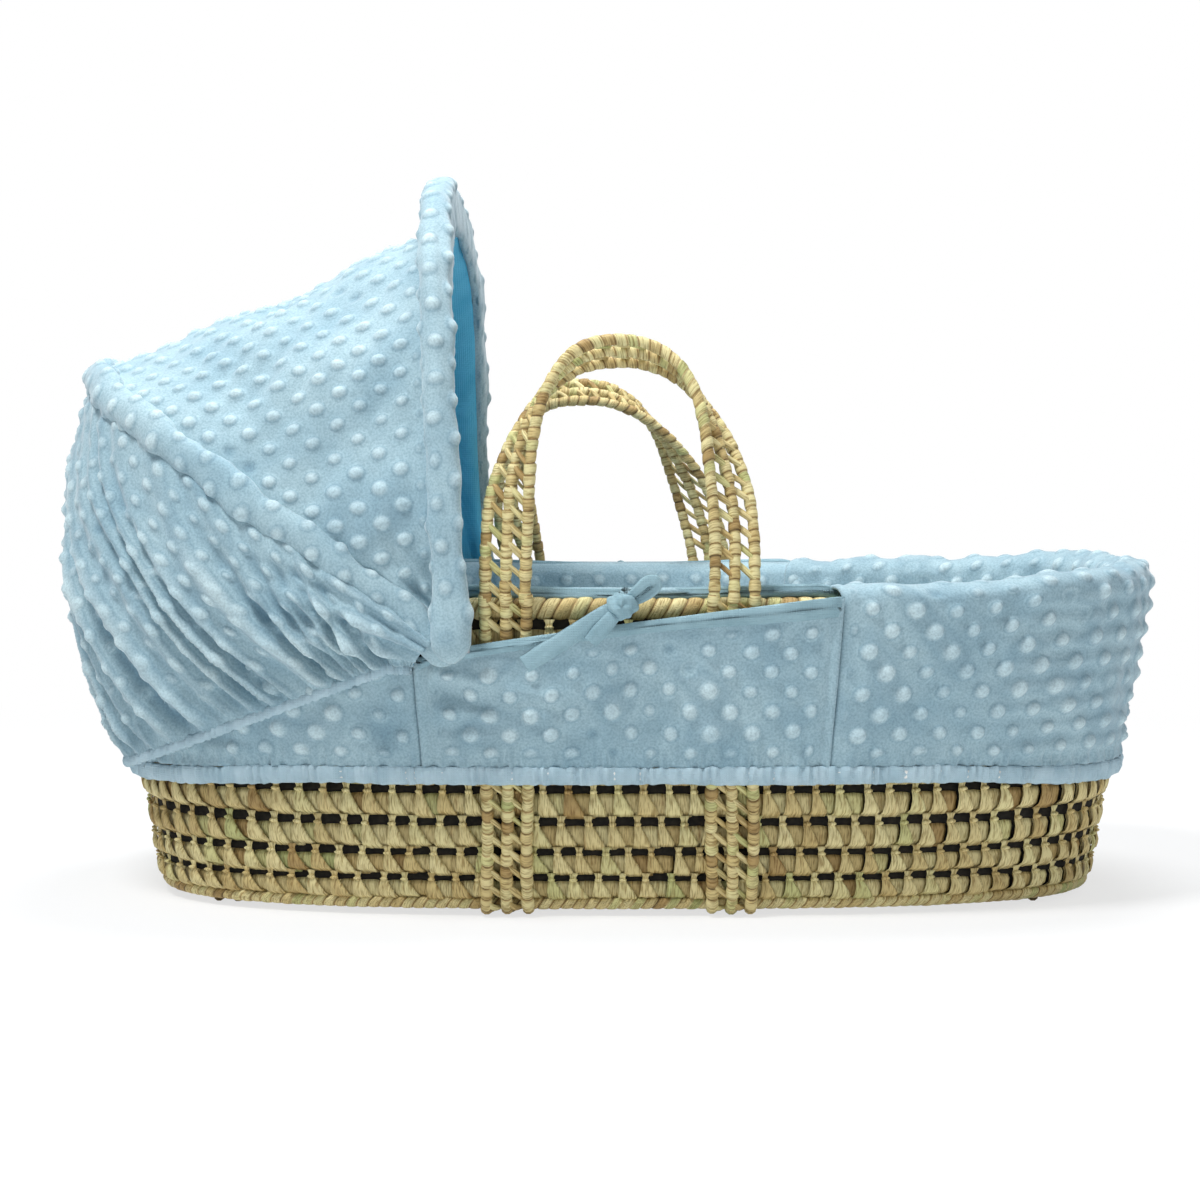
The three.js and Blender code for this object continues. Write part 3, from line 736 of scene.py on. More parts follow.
class Band:
    """A band's centre line and the direction across it, by share of its length."""

    def __init__(self, centre, across, normal):
        self.centre, self.across, self.normal = centre, across, normal
        self.places = run_along(centre)
        self.length = self.places[-1]

    def at(self, distance, sideways, outwards):
        """The point this far along the band, and this far across it and out from it."""
        centre = on_line(distance, self.places, self.centre)
        across = on_line(distance, self.places, self.across)
        normal = on_line(distance, self.places, self.normal)
        return centre + across * sideways[:, None] + normal * outwards[:, None]


def wound_rail(band, sideways, radius, seed, wrap_width=8.5):
    """One of a band's cords of grass, wound with leaf."""
    wraps = max(3, round(band.length / wrap_width))

    def place(u, v):
        turn = u * wraps
        leaf = np.floor(np.minimum(turn, wraps - 1e-3))
        within = turn - leaf
        spin = 2 * math.pi * v
        bulge = 0.86 + 0.16 * np.abs(np.sin(math.pi * within)) ** 0.4
        bulge = bulge + 0.2 * (chance(leaf, seed, 2) - 0.5)
        reach = radius * (bulge + 0.12 * within)
        distance = u * band.length + 0.18 * wrap_width * np.sin(spin) * np.clip(20 * u * (1 - u), 0, 1)
        wander = 0.8 * np.sin(u * band.length * 0.045 + seed)
        point = band.at(distance, sideways + wander + reach * np.cos(spin), reach * np.sin(spin))
        tone = leaf_tone(leaf, seed) - crease_shade(within)
        return point, leaf_facts(turn * wrap_width, spin * radius, leaf + seed * 50, tone)

    return patch("rail", wraps * 7, 10, place, wrap=True)


def lacing(band, start, end, seed, pitch=13.5):
    """Leaf strips that cross from over one rail to under the next."""
    count = int((band.length - 14) // pitch)

    def strip(u, v):
        spin = 2 * math.pi * v
        full = 0.72 + 0.28 * np.sin(math.pi * u)
        return np.stack([u, 2.9 * full * np.cos(spin), 1.9 * full * np.sin(spin)], axis=-1)

    def place(points, copy):
        along, wide, thick = points[:, 0], points[:, 1], points[:, 2]
        fullness = 0.85 + 0.4 * chance(copy, seed, 6)
        sideways = start + (end - start) * along
        slope = 4 + 14 * along
        distance = copy * pitch + 3 * (chance(copy, seed, 8) - 0.5) + slope + wide * fullness
        level = 2.4 * np.cos(math.pi * along) + thick
        facts = leaf_facts(wide, along * 16, copy + seed * 90, leaf_tone(copy, seed + 20))
        return band.at(np.clip(distance, 0, band.length), sideways, level), facts

    return copies("lacing", patch("strip", 9, 6, strip, wrap=True), count, place)


def braided(band, seed, radius=RAIL_RADIUS, pitch=RAIL_PITCH):
    """A band's three rails and its two lacings."""
    rails = [wound_rail(band, k * pitch, radius, seed + k) for k in (-1, 0, 1)]
    return rails, [lacing(band, -pitch, 0, seed + 5), lacing(band, 0, pitch, seed + 6)]


def corner_path(points, radius, step=2.0):
    """A run of straight stretches in a plane with its corners rounded."""
    path = [np.array(points[0], dtype=float)]
    for before, corner, after in zip(points, points[1:], points[2:]):
        before, corner, after = (np.array(p, dtype=float) for p in (before, corner, after))
        arrive = corner + (before - corner) / np.linalg.norm(before - corner) * radius
        leave = corner + (after - corner) / np.linalg.norm(after - corner) * radius
        for t in np.linspace(0, 1, 7):
            path.append((1 - t) ** 2 * arrive + 2 * t * (1 - t) * corner + t * t * leave)
    path.append(np.array(points[-1], dtype=float))
    path = np.array(path)
    run = run_along(path)
    return on_line(np.arange(0, run[-1], step), run, path)


def side_y(offset, z):
    """How far the far side's wall is from the middle, half way along the basket."""
    return BASE_HALF_WIDTH + RIM_FLARE * z / RIM_HEIGHT + offset


def make_straps():
    """The bands that carry the basket: down one side, under the base and up the other."""
    for index, (name, side) in enumerate([("head", -1), ("tail", 1)]):
        x = HANDLE_X + side * HANDLE_HALF_SPAN
        near = [
            (-side_y(STRAP_OFFSET_TOP, STRAP_TOP), STRAP_TOP),
            (-side_y(STRAP_OFFSET_FLOOR, STRAP_FLOOR), STRAP_FLOOR),
        ]
        path = corner_path(near + [(-y, z) for y, z in reversed(near)], STRAP_BEND)
        centre = np.column_stack([np.full(len(path), x), path])
        tangent = unit(np.gradient(centre, axis=0))
        across = np.tile([1.0, 0.0, 0.0], (len(path), 1))
        normal = np.cross(across, tangent)
        rails, laces = braided(Band(centre, across, -normal), 70 + 10 * index, radius=4.3)
        node = f"{name}_carry_strap"
        piece(f"braided_{node}", rails + laces, [PALM] * 5, "basket", [node])


def make_runners():
    """The short bands under the base that it stands on near its ends."""
    for index, (name, side) in enumerate([("head", -1), ("tail", 1)]):
        x = np.full(RUNNER_POINTS, BASKET_X + side * RUNNER_X)
        y = np.linspace(-RUNNER_REACH, RUNNER_REACH, RUNNER_POINTS)
        centre = np.column_stack([x, y, np.full(RUNNER_POINTS, RUNNER_Z)])
        across = np.tile([1.0, 0.0, 0.0], (RUNNER_POINTS, 1))
        band = Band(centre, across, np.tile([0.0, 0.0, 1.0], (RUNNER_POINTS, 1)))
        rails, laces = braided(band, 130 + 10 * index, radius=4.2)
        node = f"{name}_foot_runner"
        piece(f"braided_{node}", rails + laces, [PALM] * 5, "basket", [node])


def handle_band(side, height, skew):
    """The handle's line. It stands in the wall's plane at its feet and lies flat at its top."""
    t = np.linspace(0, 1, 240)
    share = signed_power(np.sin(math.pi * t), 2 / HANDLE_POWER)
    span = HANDLE_HALF_SPAN * signed_power(np.cos(math.pi * t), 2 / HANDLE_POWER)
    x = HANDLE_X - span + skew * share
    y = side * (side_y(HANDLE_OFFSET, HANDLE_PIVOT_Z) - HANDLE_LEAN * share * share)
    z = HANDLE_PIVOT_Z + HANDLE_START + height * share
    centre = np.stack([x, y, z], axis=-1)
    feet = centre[[0, -1]] - np.array([0, 0, HANDLE_FOOT])
    centre = np.concatenate([feet[:1], centre, feet[1:]])
    share = np.concatenate([[0], share, [0]])
    tangent = unit(np.gradient(centre, axis=0))
    inwards = np.tile([0.0, -float(side), 0.0], (len(centre), 1))
    inwards = unit(inwards - tangent * np.sum(inwards * tangent, axis=1, keepdims=True))
    outwards = np.cross(inwards, tangent) * side
    twist = (HANDLE_TWIST * np.abs(share) ** 1.5)[:, None]
    across = outwards * np.cos(twist) + inwards * np.sin(twist)
    return Band(centre, across, np.cross(across, tangent))


def make_handles():
    """Each handle's rails and lacings, each made as its own piece in place of its CAD node."""
    for index, (name, side, height, skew) in enumerate(HANDLES):
        band = handle_band(side, height, skew)
        rails, laces = braided(band, 160 + 20 * index)
        labels = ["inner_rail", "middle_rail", "outer_rail", "inner_lacing", "outer_lacing"]
        for label, mesh in zip(labels, rails + laces):
            node = f"{name}_handle_{label}"
            made = piece(f"wound_{node}", [mesh], [PALM], None, [node])
            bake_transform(made)


# The dotted cover


def dots(a, b, seed=0):
    """How raised the cloth is at (a, b), 1 on top of a full dot. A few dots are dented in."""
    a = a + 2.6 * drift(a, b, 170.0, 201 + seed)
    b = b + 2.6 * drift(a, b, 140.0, 301 + seed)
    height = np.zeros_like(a)
    for shift in (0.0, 0.5):
        column, line = np.round(a / DOT_PITCH - shift), np.round(b / DOT_ROWS - shift)
        away = np.hypot(a - (column + shift) * DOT_PITCH, b - (line + shift) * DOT_ROWS) / DOT_RADIUS
        luck = chance(column + 2 * shift + seed, line, 9)
        strength = np.where(luck < 0.04, -0.4, 0.64 + 0.36 * luck)
        height = height + strength * np.clip(1 - away**2, 0, 1) ** 1.6
    return height


def gathers(s, wavelength, seed):
    """Small uneven pleats, as a drawn elastic makes."""
    uneven = s + 0.35 * wavelength * np.sin(s * 2 * math.pi / (5.3 * wavelength) + seed)
    depth = 0.65 + 0.35 * np.sin(s * 2 * math.pi / (3.1 * wavelength) + 2 * seed)
    return depth * np.cos(uneven * 2 * math.pi / wavelength)


def skirt_relief(s, z, bottom, seed):
    """How far the hanging skirt stands out: dots, slow waves and pleats above the hem."""
    above = z - bottom
    pleats = 1.7 * gathers(s, 12.0, seed) * bell(above, 13.0)
    slow = (1.7 * drift(s, z, 95.0, seed) + 1.1 * drift(s, z, 38.0, seed + 1)) * smooth(above, 0, 30)
    return dots(s, z, seed) * smooth(above, 4, 14), slow + pleats


def end_panel(start, end, seed):
    """The cover round one end: up the outside, over the padded rim and down inside."""
    outside, over = 0.58, 0.84

    def place(u, v):
        share = start + (end - start) * u
        s = share * GIRTH
        bottom = SKIRT_BOTTOM + hem_lift(share, SKIRT_BOTTOM)
        climb = np.clip(v / outside, 0, 1)
        turn = math.pi * np.clip((v - outside) / (over - outside), 0, 1)
        drop = np.clip((v - over) / (1 - over), 0, 1)
        rising = bottom + (ROLL_SPRING - bottom) * climb
        z = np.where(v < outside, rising, ROLL_SPRING + ROLL_RISE * np.sin(turn))
        z = np.where(v > over, ROLL_SPRING + (ROLL_TUCK - ROLL_SPRING) * drop, z)
        tapered = skirt(share) - SKIRT_OFFSET
        offset = ROLL_CENTRE + tapered / 2 + (ROLL_HALF_WIDTH + tapered / 2) * np.cos(turn)
        arc = ROLL_ARC * turn / (math.pi / 2)
        cloth_z = np.where(v < outside, z, ROLL_SPRING + arc + ROLL_DROP * drop)
        raised, waves = skirt_relief(s, cloth_z, bottom, seed)
        edge = np.minimum(u, 1 - u) * (end - start) * GIRTH
        raised = raised * smooth(edge, 4, 10) * (1 - 0.4 * np.sin(turn))
        ridges = 0.8 * np.cos(4 * math.pi * cloth_z / DOT_ROWS)
        waves = waves + ridges * smooth(edge, 60, 190) * (v < outside)
        relief = (DOT_HEIGHT * raised + waves) * smooth(edge, 1, 9)
        relief = relief - SEAM_DEPTH * bell(edge, SEAM_WIDTH)
        belly = 1.2 * np.sin(math.pi * climb) * (v < outside)
        point = wall(share, offset + (relief + belly) * np.cos(turn), z + relief * np.sin(turn))
        # The waves' depth is added to the fact, so the plush paints shade in their hollows and light on
        # their crests.
        return point, {"raised": raised + 0.1 * waves}

    columns = int((end - start) * GIRTH / 2.3)
    return patch("end_panel", columns, 112, place)


def side_edge(x):
    """The height of the side panel's upper edge, which rises to the foot end."""
    t = np.clip((x - SEAMS[0]) / (SEAMS[1] - SEAMS[0]), 0, 1)
    return SIDE_EDGE[0] + (SIDE_EDGE[1] - SIDE_EDGE[0]) * (0.72 * t + 0.28 * t**0.45)


def side_share(u, far):
    """The share of the girth at u along a side panel, from its head seam to its foot seam."""
    near = share_at(SEAMS[0]) + (share_at(SEAMS[1]) - share_at(SEAMS[0])) * u
    return 1 - near if far else near


def side_panel(far, seed):
    """The loose side panel under the handles, slack at its head corner."""

    def place(u, v):
        share = side_share(u, far)
        x = wall_x(share, SKIRT_OFFSET, 160.0)
        bottom = SKIRT_BOTTOM + hem_lift(share, SKIRT_BOTTOM)
        top = side_edge(x)
        z = bottom + (top - bottom) * v
        raised, waves = skirt_relief(x, z, bottom, seed)
        edge = np.minimum(x - SEAMS[0], SEAMS[1] - x)
        raised = raised * smooth(top - z, 12, 20) * smooth(edge, 4, 10)
        waves = waves * smooth(top - z, 4, 20) * smooth(edge, 1, 8)
        relief = DOT_HEIGHT * raised + waves - SEAM_DEPTH * bell(edge, SEAM_WIDTH)
        for level, slope, width, depth in SLACK_FOLDS:
            fold = depth * bell(z - (level + slope * (x - SEAMS[0])), width)
            relief = relief + fold * (1 - smooth(x, -90.0, 5.0)) * smooth(edge, 1, 8)
        hang = 1.6 * smooth(v, 0.1, 0.6)
        # The waves' depth is added to the fact, so the plush paints shade in their hollows and light on
        # their crests.
        return wall(share, SKIRT_OFFSET + relief + hang, z), {"raised": raised + 0.1 * waves}

    return patch("side_panel", 130, 52, place)


def edge_binding(far):
    """A turned strip of plain cotton along the side panel's upper edge, with its row of stitches."""

    def place(u, v):
        share = side_share(u, far)
        x = wall_x(share, SKIRT_OFFSET, 160.0)
        top = side_edge(x)
        deep = 9.0 + 6.0 * smooth(x, 20, 150)
        spin = 2 * math.pi * v
        tip = 0.25 + 0.75 * smooth(np.minimum(u, 1 - u), 0, 0.03)
        out = 2.0 * np.cos(spin) * (1 - 0.35 * np.sin(spin) ** 2) * tip
        ripple = 0.7 * drift(x, spin * 6, 34.0, 11 + far)
        stitch = -0.5 * bell(np.sin(spin) + 0.72, 0.1) * (np.cos(spin) > 0)
        z = top + 1.5 - deep / 2 + deep / 2 * np.sin(spin)
        return wall(share, SKIRT_OFFSET + 2.2 * tip + out + (ripple + stitch) * tip, z)

    return patch("binding", 150, 16, place, wrap=True)


def hem_ring():
    """The gathered hem: a woven casing drawn up on its elastic."""

    def place(u, v):
        s = u * GIRTH
        spin = 2 * math.pi * v
        middle = HEM_MIDDLE + hem_lift(u, HEM_MIDDLE)
        ruffle = 2.3 * gathers(s, 7.6, 3) * (0.45 + 0.55 * np.abs(np.sin(spin)))
        out = skirt(u) + (2.4 + ruffle) * np.cos(spin) + 0.5 * ruffle
        up = middle + (6.8 + 0.5 * drift(s, s * 0, 60.0, 8)) * np.sin(spin) + 0.5 * gathers(s, 13.0, 5)
        return wall(u, out, up)

    return patch("hem", 1300, 12, place, wrap=True)


def hem_elastic():
    """The drawn elastic inside the hem."""

    def place(u, v):
        spin = 2 * math.pi * v
        flat = 3.0 * signed_power(np.sin(spin), 0.6)
        wavy = 0.3 * np.cos(2 * math.pi * 330 * u)
        middle = HEM_MIDDLE + hem_lift(u, HEM_MIDDLE)
        return wall(u, skirt(u) + 0.6 * signed_power(np.cos(spin), 0.6) + wavy, middle + flat)

    return patch("elastic", 1320, 8, place, wrap=True)


def make_cover():
    head_seam, foot_seam = share_at(SEAMS[0]), share_at(SEAMS[1])
    foot = piece("plush_foot_panel", [end_panel(foot_seam, 1 - foot_seam, 2)], [PLUSH], "basket",
                 ["cover_foot_panel"], wall_thickness=PLUSH_THICKNESS)
    head = piece("plush_head_panel", [end_panel(-head_seam, head_seam, 3)], [PLUSH], "basket",
                 ["cover_head_panel"], wall_thickness=PLUSH_THICKNESS)
    piece("gathered_hem", [hem_ring()], [BINDING], "basket", ["cover_hem_casing"])
    piece("hem_drawstring_elastic", [hem_elastic()], [ELASTIC], "basket", ["cover_hem_elastic"])
    for name, far in (("near", False), ("far", True)):
        panel = piece(f"plush_{name}_panel", [side_panel(far, 20 + far)], [PLUSH], "basket",
                      [f"cover_{name}_panel"], wall_thickness=PLUSH_THICKNESS)
        strip = piece(f"{name}_panel_binding", [edge_binding(far)], [TIE_TAPE], "basket")


# Side lining, its binding and the mattress


def lining_binding(far):
    """The piped edge of the lining across one side opening."""

    def place(u, v):
        share = side_share(1.06 * u - 0.03, far)
        spin = 2 * math.pi * v
        x = wall_x(share, 0, 200.0)
        sag = 3.4 * np.sin(math.pi * u) ** 2 + 3.0 * (1 - smooth(np.minimum(u, 1 - u), 0, 0.06))
        out = -9.5 + 1.8 * np.cos(spin) + 0.5 * drift(x, spin, 60.0, 31 + far)
        up = 245.0 - sag + 5.0 * np.sin(spin)
        return wall(share, out, up)

    return patch("lining_binding", 140, 10, place, wrap=True)


def open_wrap(mesh):
    """Joins a sheet that goes right round without filling its open upper and lower edges."""
    bm = bmesh.new()
    bm.from_mesh(mesh)
    bmesh.ops.remove_doubles(bm, verts=bm.verts[:], dist=2e-6)
    bm.to_mesh(mesh)
    bm.free()
    return mesh


def make_mattress():
    """The mattress in its cotton cover, swelled by simulation so that its edge rounds over."""
    bm = bmesh.new()
    bmesh.ops.create_cube(bm, size=1.0)
    bmesh.ops.subdivide_edges(bm, edges=bm.edges[:], cuts=24, use_grid_fill=True)
    mesh = to_mesh(bm, "mattress")
    cube = corners_of(mesh) * 2
    angle = np.arctan2(cube[:, 1], cube[:, 0])
    square = np.maximum(np.abs(cube[:, 0]), np.abs(cube[:, 1]))
    rounded = 1 - 0.011 * np.abs(cube[:, 2]) ** 6
    height = MATTRESS_MIDDLE + MATTRESS_HALF_HEIGHT * cube[:, 2]
    edge = outline(angle, MATTRESS_OFFSET, height)
    middle = np.array([BASKET_X, 0.0, 0.0])
    points = middle + (edge - middle) * (square * rounded)[:, None]
    points[:, 2] = height
    set_corners(mesh, points)
    made = piece("quilted_mattress", [mesh], [TICKING], "mattress",
                 ["mattress_cover"])
    swell(made, pressure=3.0, frames=16, cap=3.5)
    # Quilting dimples the top, and the faces stay between the floor cloth and the cover's height.
    for vertex in made.data.vertices:
        x, y = vertex.co.x / MM, vertex.co.y / MM
        if vertex.co.z > 0.045:
            dimple = math.cos(x * math.pi / QUILT_PITCH) * math.cos(y * math.pi / QUILT_PITCH)
            vertex.co.z -= QUILT_DEPTH * MM * dimple**8
        vertex.co.z = min(max(vertex.co.z, 0.0191), 0.0585)


def swell(made, pressure, frames, cap):
    """Blows a closed cloth up a little, keeps each point within cap, and bakes it to the mesh."""
    scene = bpy.context.scene
    before = np.array([v.co for v in made.data.vertices])
    cloth = made.modifiers.new("Cloth", "CLOTH")
    cloth.settings.quality = 5
    cloth.settings.use_pressure = True
    cloth.settings.uniform_pressure_force = pressure
    cloth.settings.effector_weights.gravity = 0
    for frame_number in range(1, frames + 1):
        scene.frame_set(frame_number)
    shown = made.evaluated_get(bpy.context.evaluated_depsgraph_get())
    after = np.array([v.co for v in shown.data.vertices])
    made.modifiers.remove(cloth)
    scene.frame_set(1)
    outwards = np.array([v.normal for v in made.data.vertices])
    swelled = np.clip(np.sum((after - before) * outwards, axis=1, keepdims=True), 0, cap * MM)
    made.data.vertices.foreach_set("co", (before + swelled * outwards).ravel())


def make_lining():
    """The dotted lining inside the basket, and its binding across each side opening."""
    ring = open_wrap(patch("lining", 720, 66, lining_place, turned=True))
    lining = piece("plush_side_lining", [ring], [PLUSH], "basket", ["padded_side_lining"],
                   wall_thickness=LINING_THICKNESS)
    for name, far in (("near", False), ("far", True)):
        piece(f"{name}_lining_binding", [lining_binding(far)], [TIE_TAPE], "basket")


def lining_place(u, v):
    """The lining hangs inside the wall, and leans out over the rim at the side openings."""
    s = u * GIRTH
    x = wall_x(u, 0, 200.0)
    open_side = smooth(x, SEAMS[0] - 40, SEAMS[0] - 14) * (1 - smooth(x, SEAMS[1] + 14, SEAMS[1] + 40))
    top = LINING_END_TOP + (LINING_TOP - LINING_END_TOP) * open_side
    z = LINING_BOTTOM + (top - LINING_BOTTOM) * v
    raised = dots(s, z, 5) * smooth(top - z, 6, 16) * smooth(z, 40, 52)
    relief = DOT_HEIGHT * raised + 1.4 * drift(s, z, 110.0, 15)
    thick = 3.5 * np.sin(math.pi * v) ** 0.6
    lean_out = 10.5 * smooth(z, 238, 248) * open_side
    tucked = 4.0 * smooth(z, 185, 200) * (1 - open_side)
    return wall(u, LINING_OFFSET + 2.0 - relief - thick + lean_out + tucked, z), {"raised": raised}


# Ties


def ribbon(points, widths, seed, flat_side=1.0):
    """A flat woven tape along a smooth line in front of the side panel."""
    points = np.array(points, dtype=float)
    knots = np.linspace(0, 1, len(points))

    def at(t):
        return on_line(np.clip(t, 0, 1), knots, points)

    def place(u, v):
        # The line is an average of places close by, which rounds its corners.
        soft = sum(at(u + d) for d in (-0.09, -0.05, 0, 0.05, 0.09)) / 5
        step = unit(at(u + 0.04) - at(u - 0.04))
        away = np.tile([0.0, flat_side, 0.0], (len(u), 1))
        wide = unit(np.cross(step, away))
        spin = 2 * math.pi * v
        half = np.interp(u, np.linspace(0, 1, len(widths)), widths) / 2
        fold = 0.9 * np.cos(2 * np.cos(spin) * math.pi) * 0.5
        thick = 1.0 * np.sin(spin) + fold + 0.5 * drift(u * 80, v * 8, 24.0, seed)
        return soft + wide * (half * np.cos(spin))[:, None] + away * thick[:, None] * -1

    return patch("ribbon", 40, 14, place, wrap=True)


def knot_lump(x, y, z):
    """The tie's knot: a wrapped, creased lump of tape."""
    bm = bmesh.new()
    bmesh.ops.create_icosphere(bm, subdivisions=5, radius=1.0)
    for vertex in bm.verts:
        turn = math.atan2(vertex.co.z, vertex.co.x)
        ridges = 0.11 * math.sin(3 * turn + 5 * vertex.co.y + 1.0)
        ridges += 0.06 * math.sin(9 * vertex.co.x + 4 * vertex.co.z)
        vertex.co *= 1 + ridges
    bmesh.ops.scale(bm, vec=(11 * MM, 7.5 * MM, 9 * MM), verts=bm.verts[:])
    bmesh.ops.translate(bm, vec=(x * MM, y * MM, z * MM), verts=bm.verts[:])
    return to_mesh(bm, "knot")


def make_ties():
    """Each tie comes over the rim from the lining, and its knot holds the side panel's edge up."""
    for name, side, drop in (("near", -1, 0), ("far", 1, 16)):
        y = side * (side_y(SKIRT_OFFSET, 236.0) + 4.0)
        out = side * TIE_STEP
        loop = (
            (10, 0, 238), (19, 1, 247 - drop), (28, 1, 255 - drop),
            (35, 0, 252 - drop), (30, -1, 244 - drop), (14, -1, 236),
        )
        tapes = (
            (TIE_TAIL, [7, 11, 13, 14, 13]),
            (TIE_SHORT_TAIL, [8, 11, 12, 11]),
            (loop, [5, 7, 8, 8, 7, 5]),
            (TIE_OVER_RIM, [8, 8, 8, 9, 8]),
        )
        meshes = []
        for seed, (line, widths) in enumerate(tapes, start=1):
            points = [(x, y + steps * out, z) for x, steps, z in line]
            meshes.append(ribbon(points, widths, seed, side))
        meshes.append(knot_lump(TIE_KNOT_X, y + out, TIE_KNOT_Z))
        tie = piece(f"knotted_{name}_tie", meshes, [TIE_TAPE] * len(meshes), "basket",
                    [f"{name}_side_tie"])


# Hood


def hoop_rise(u):
    """How far out from the pivots the hoop is, as a share of its reach."""
    return signed_power(np.sin(math.pi * u), 2 / HOOP_POWER)


def on_hoop(angle, reach, half_width, u):
    """A point on a hoop's wire, from its near foot at 0 to its far foot at 1."""
    rise = reach * hoop_rise(u)
    y = -half_width * signed_power(np.cos(math.pi * u), 2 / HOOP_POWER)
    return np.stack([PIVOT_X - rise * np.cos(angle), y, PIVOT_Z + rise * np.sin(angle)], axis=-1)


def hoop_length_table():
    u = np.linspace(0, 1, 2001)
    return u, run_along(on_hoop(FRONT_ANGLE, FRONT_REACH, FRONT_HALF_WIDTH, u))


HOOP_U, HOOP_RUN = hoop_length_table()
HOOP_LENGTH = HOOP_RUN[-1]


def even_u(share):
    """The hoop's own parameter at an even share of its length."""
    return np.interp(share * HOOP_LENGTH, HOOP_RUN, HOOP_U)


def from_foot(s):
    """How far along the hoop a place is from its nearer foot."""
    return np.minimum(s, HOOP_LENGTH - s)


def roll_section(angle, reach, half_width, u, outward, forward):
    """A point in the hoop's own section: outward in the hoop's plane, and forward off it."""
    step = 0.002
    after = on_hoop(angle, reach, half_width, np.minimum(u + step, 1.0))
    tangent = unit(after - on_hoop(angle, reach, half_width, np.maximum(u - step, 0.0)))
    ahead = np.array([math.sin(angle), 0.0, math.cos(angle)])
    outwards = np.cross(ahead, tangent)
    middle = on_hoop(angle, reach, half_width, u)
    return middle + outwards * outward[:, None] + ahead * forward[:, None]


def hoop_foot(point, s):
    """Lets the cloth at a hoop's feet hang over the pivot plates."""
    foot = 1 - smooth(from_foot(s), 0, 46)
    point[:, 2] -= 15.0 * foot
    point[:, 1] += np.sign(point[:, 1]) * 2.0 * foot
    return point


def facing_depth(t):
    """How much of its full depth the facing has: least at the feet, all of it at the crown."""
    return 0.3 + 0.7 * smooth(hoop_rise(t) * FRONT_REACH, 90, 320)


def facing_lean(u, inner, deep):
    """How far forward the facing sits: its inner edge leans out, more so on the far side."""
    return (8.0 * inner + 7.0 * smooth(u, 0.5, 0.7)) * deep


def front_roll():
    """The padded brim on the front hoop, with the facing that turns inside."""

    def place(u, v):
        t = even_u(u)
        s = u * HOOP_LENGTH
        rise = hoop_rise(t) * FRONT_REACH
        full = 0.9 + 0.1 * smooth(rise, 60, 170) + 0.3 * (1 - smooth(rise, 10, 60))
        deep = facing_depth(t)
        spin = 2 * math.pi * v + math.pi
        c = np.cos(spin)
        out = np.where(c > 0, 10.0 * full * c, 30.0 * deep * c)
        ends = smooth(from_foot(s), 8, 30)
        round_it = np.interp(v, [0, 0.25, 0.75, 1], [0, 33, 66, 99])
        raised = 0.7 * dots(s, round_it, 41) * ends * smooth(np.minimum(v, 1 - v), 0.02, 0.08)
        puckers = 1.5 * drift(s, 30 * np.sin(spin), 60.0, 42) + 0.8 * drift(s, 10 * c, 24.0, 45)
        swell = 1 + (DOT_HEIGHT * raised + puckers * ends) / np.where(c > 0, 11.0, 19.0)
        swell = swell * np.clip(np.minimum(u, 1 - u) * 90, 0.02, 1) ** 0.5
        inner = smooth(-c, 0.0, 1.0)
        ahead = 12.0 * full * np.sin(spin) * swell * (1 - 0.4 * inner) + facing_lean(u, inner, deep)
        point = roll_section(FRONT_ANGLE, FRONT_REACH, FRONT_HALF_WIDTH, t, out * swell, ahead)
        return hoop_foot(point, s), {"raised": raised}

    return patch("front_roll", 420, 44, place, wrap=True)


def rear_roll():
    """The soft ridge that the cloth makes over the rear hoop."""

    def place(u, v):
        t = even_u(u)
        s = u * HOOP_LENGTH
        full = 0.8 + 0.2 * smooth(hoop_rise(t) * REAR_REACH, 30, 160)
        spin = 2 * math.pi * v + math.pi
        ends = smooth(from_foot(s), 8, 34)
        raised = 0.85 * dots(s, 72.0 * v, 43) * ends * smooth(np.minimum(v, 1 - v), 0.02, 0.08)
        puckers = 2.0 * drift(s, 30 * np.sin(spin), 60.0, 44)
        puckers = puckers + 1.2 * drift(s, 10 * np.cos(spin), 26.0, 46)
        swell = 1 + (DOT_HEIGHT * raised + puckers * ends) / 12.0
        swell = swell * np.clip(np.minimum(u, 1 - u) * 90, 0.02, 1) ** 0.5
        out = 9.0 * full * np.cos(spin) * swell
        ahead = 13.5 * full * np.sin(spin) * swell
        point = roll_section(REAR_ANGLE, REAR_REACH, REAR_HALF_WIDTH, t, out, ahead)
        return hoop_foot(point, s), {"raised": raised}

    return patch("rear_roll", 420, 30, place, wrap=True)


def cloth_normals(surface, u, v):
    step = 0.004
    du = surface(np.clip(u + step, 0, 1), v) - surface(np.clip(u - step, 0, 1), v)
    dv = surface(u, np.clip(v + step, 0, 1)) - surface(u, np.clip(v - step, 0, 1))
    normal = np.cross(du, dv)
    return normal / np.maximum(np.linalg.norm(normal, axis=1, keepdims=True), 1e-9)


def cloth_share(u):
    """The share of the hoop's length at u along the hood's cloth."""
    return CLOTH_START + CLOTH_SPAN * u


def top_surface(u, v):
    """The hood's top, straight from the rear hoop at v 0 to the front one at v 1."""
    t = even_u(cloth_share(u))
    rear = on_hoop(REAR_ANGLE, REAR_REACH + 3.0, REAR_HALF_WIDTH + 1.0, t)
    reach = FRONT_REACH - 28.0 * smooth(hoop_rise(t), 0.15, 0.95)
    front = on_hoop(FRONT_ANGLE, reach, FRONT_HALF_WIDTH, t)
    return rear + (front - rear) * v[:, None]


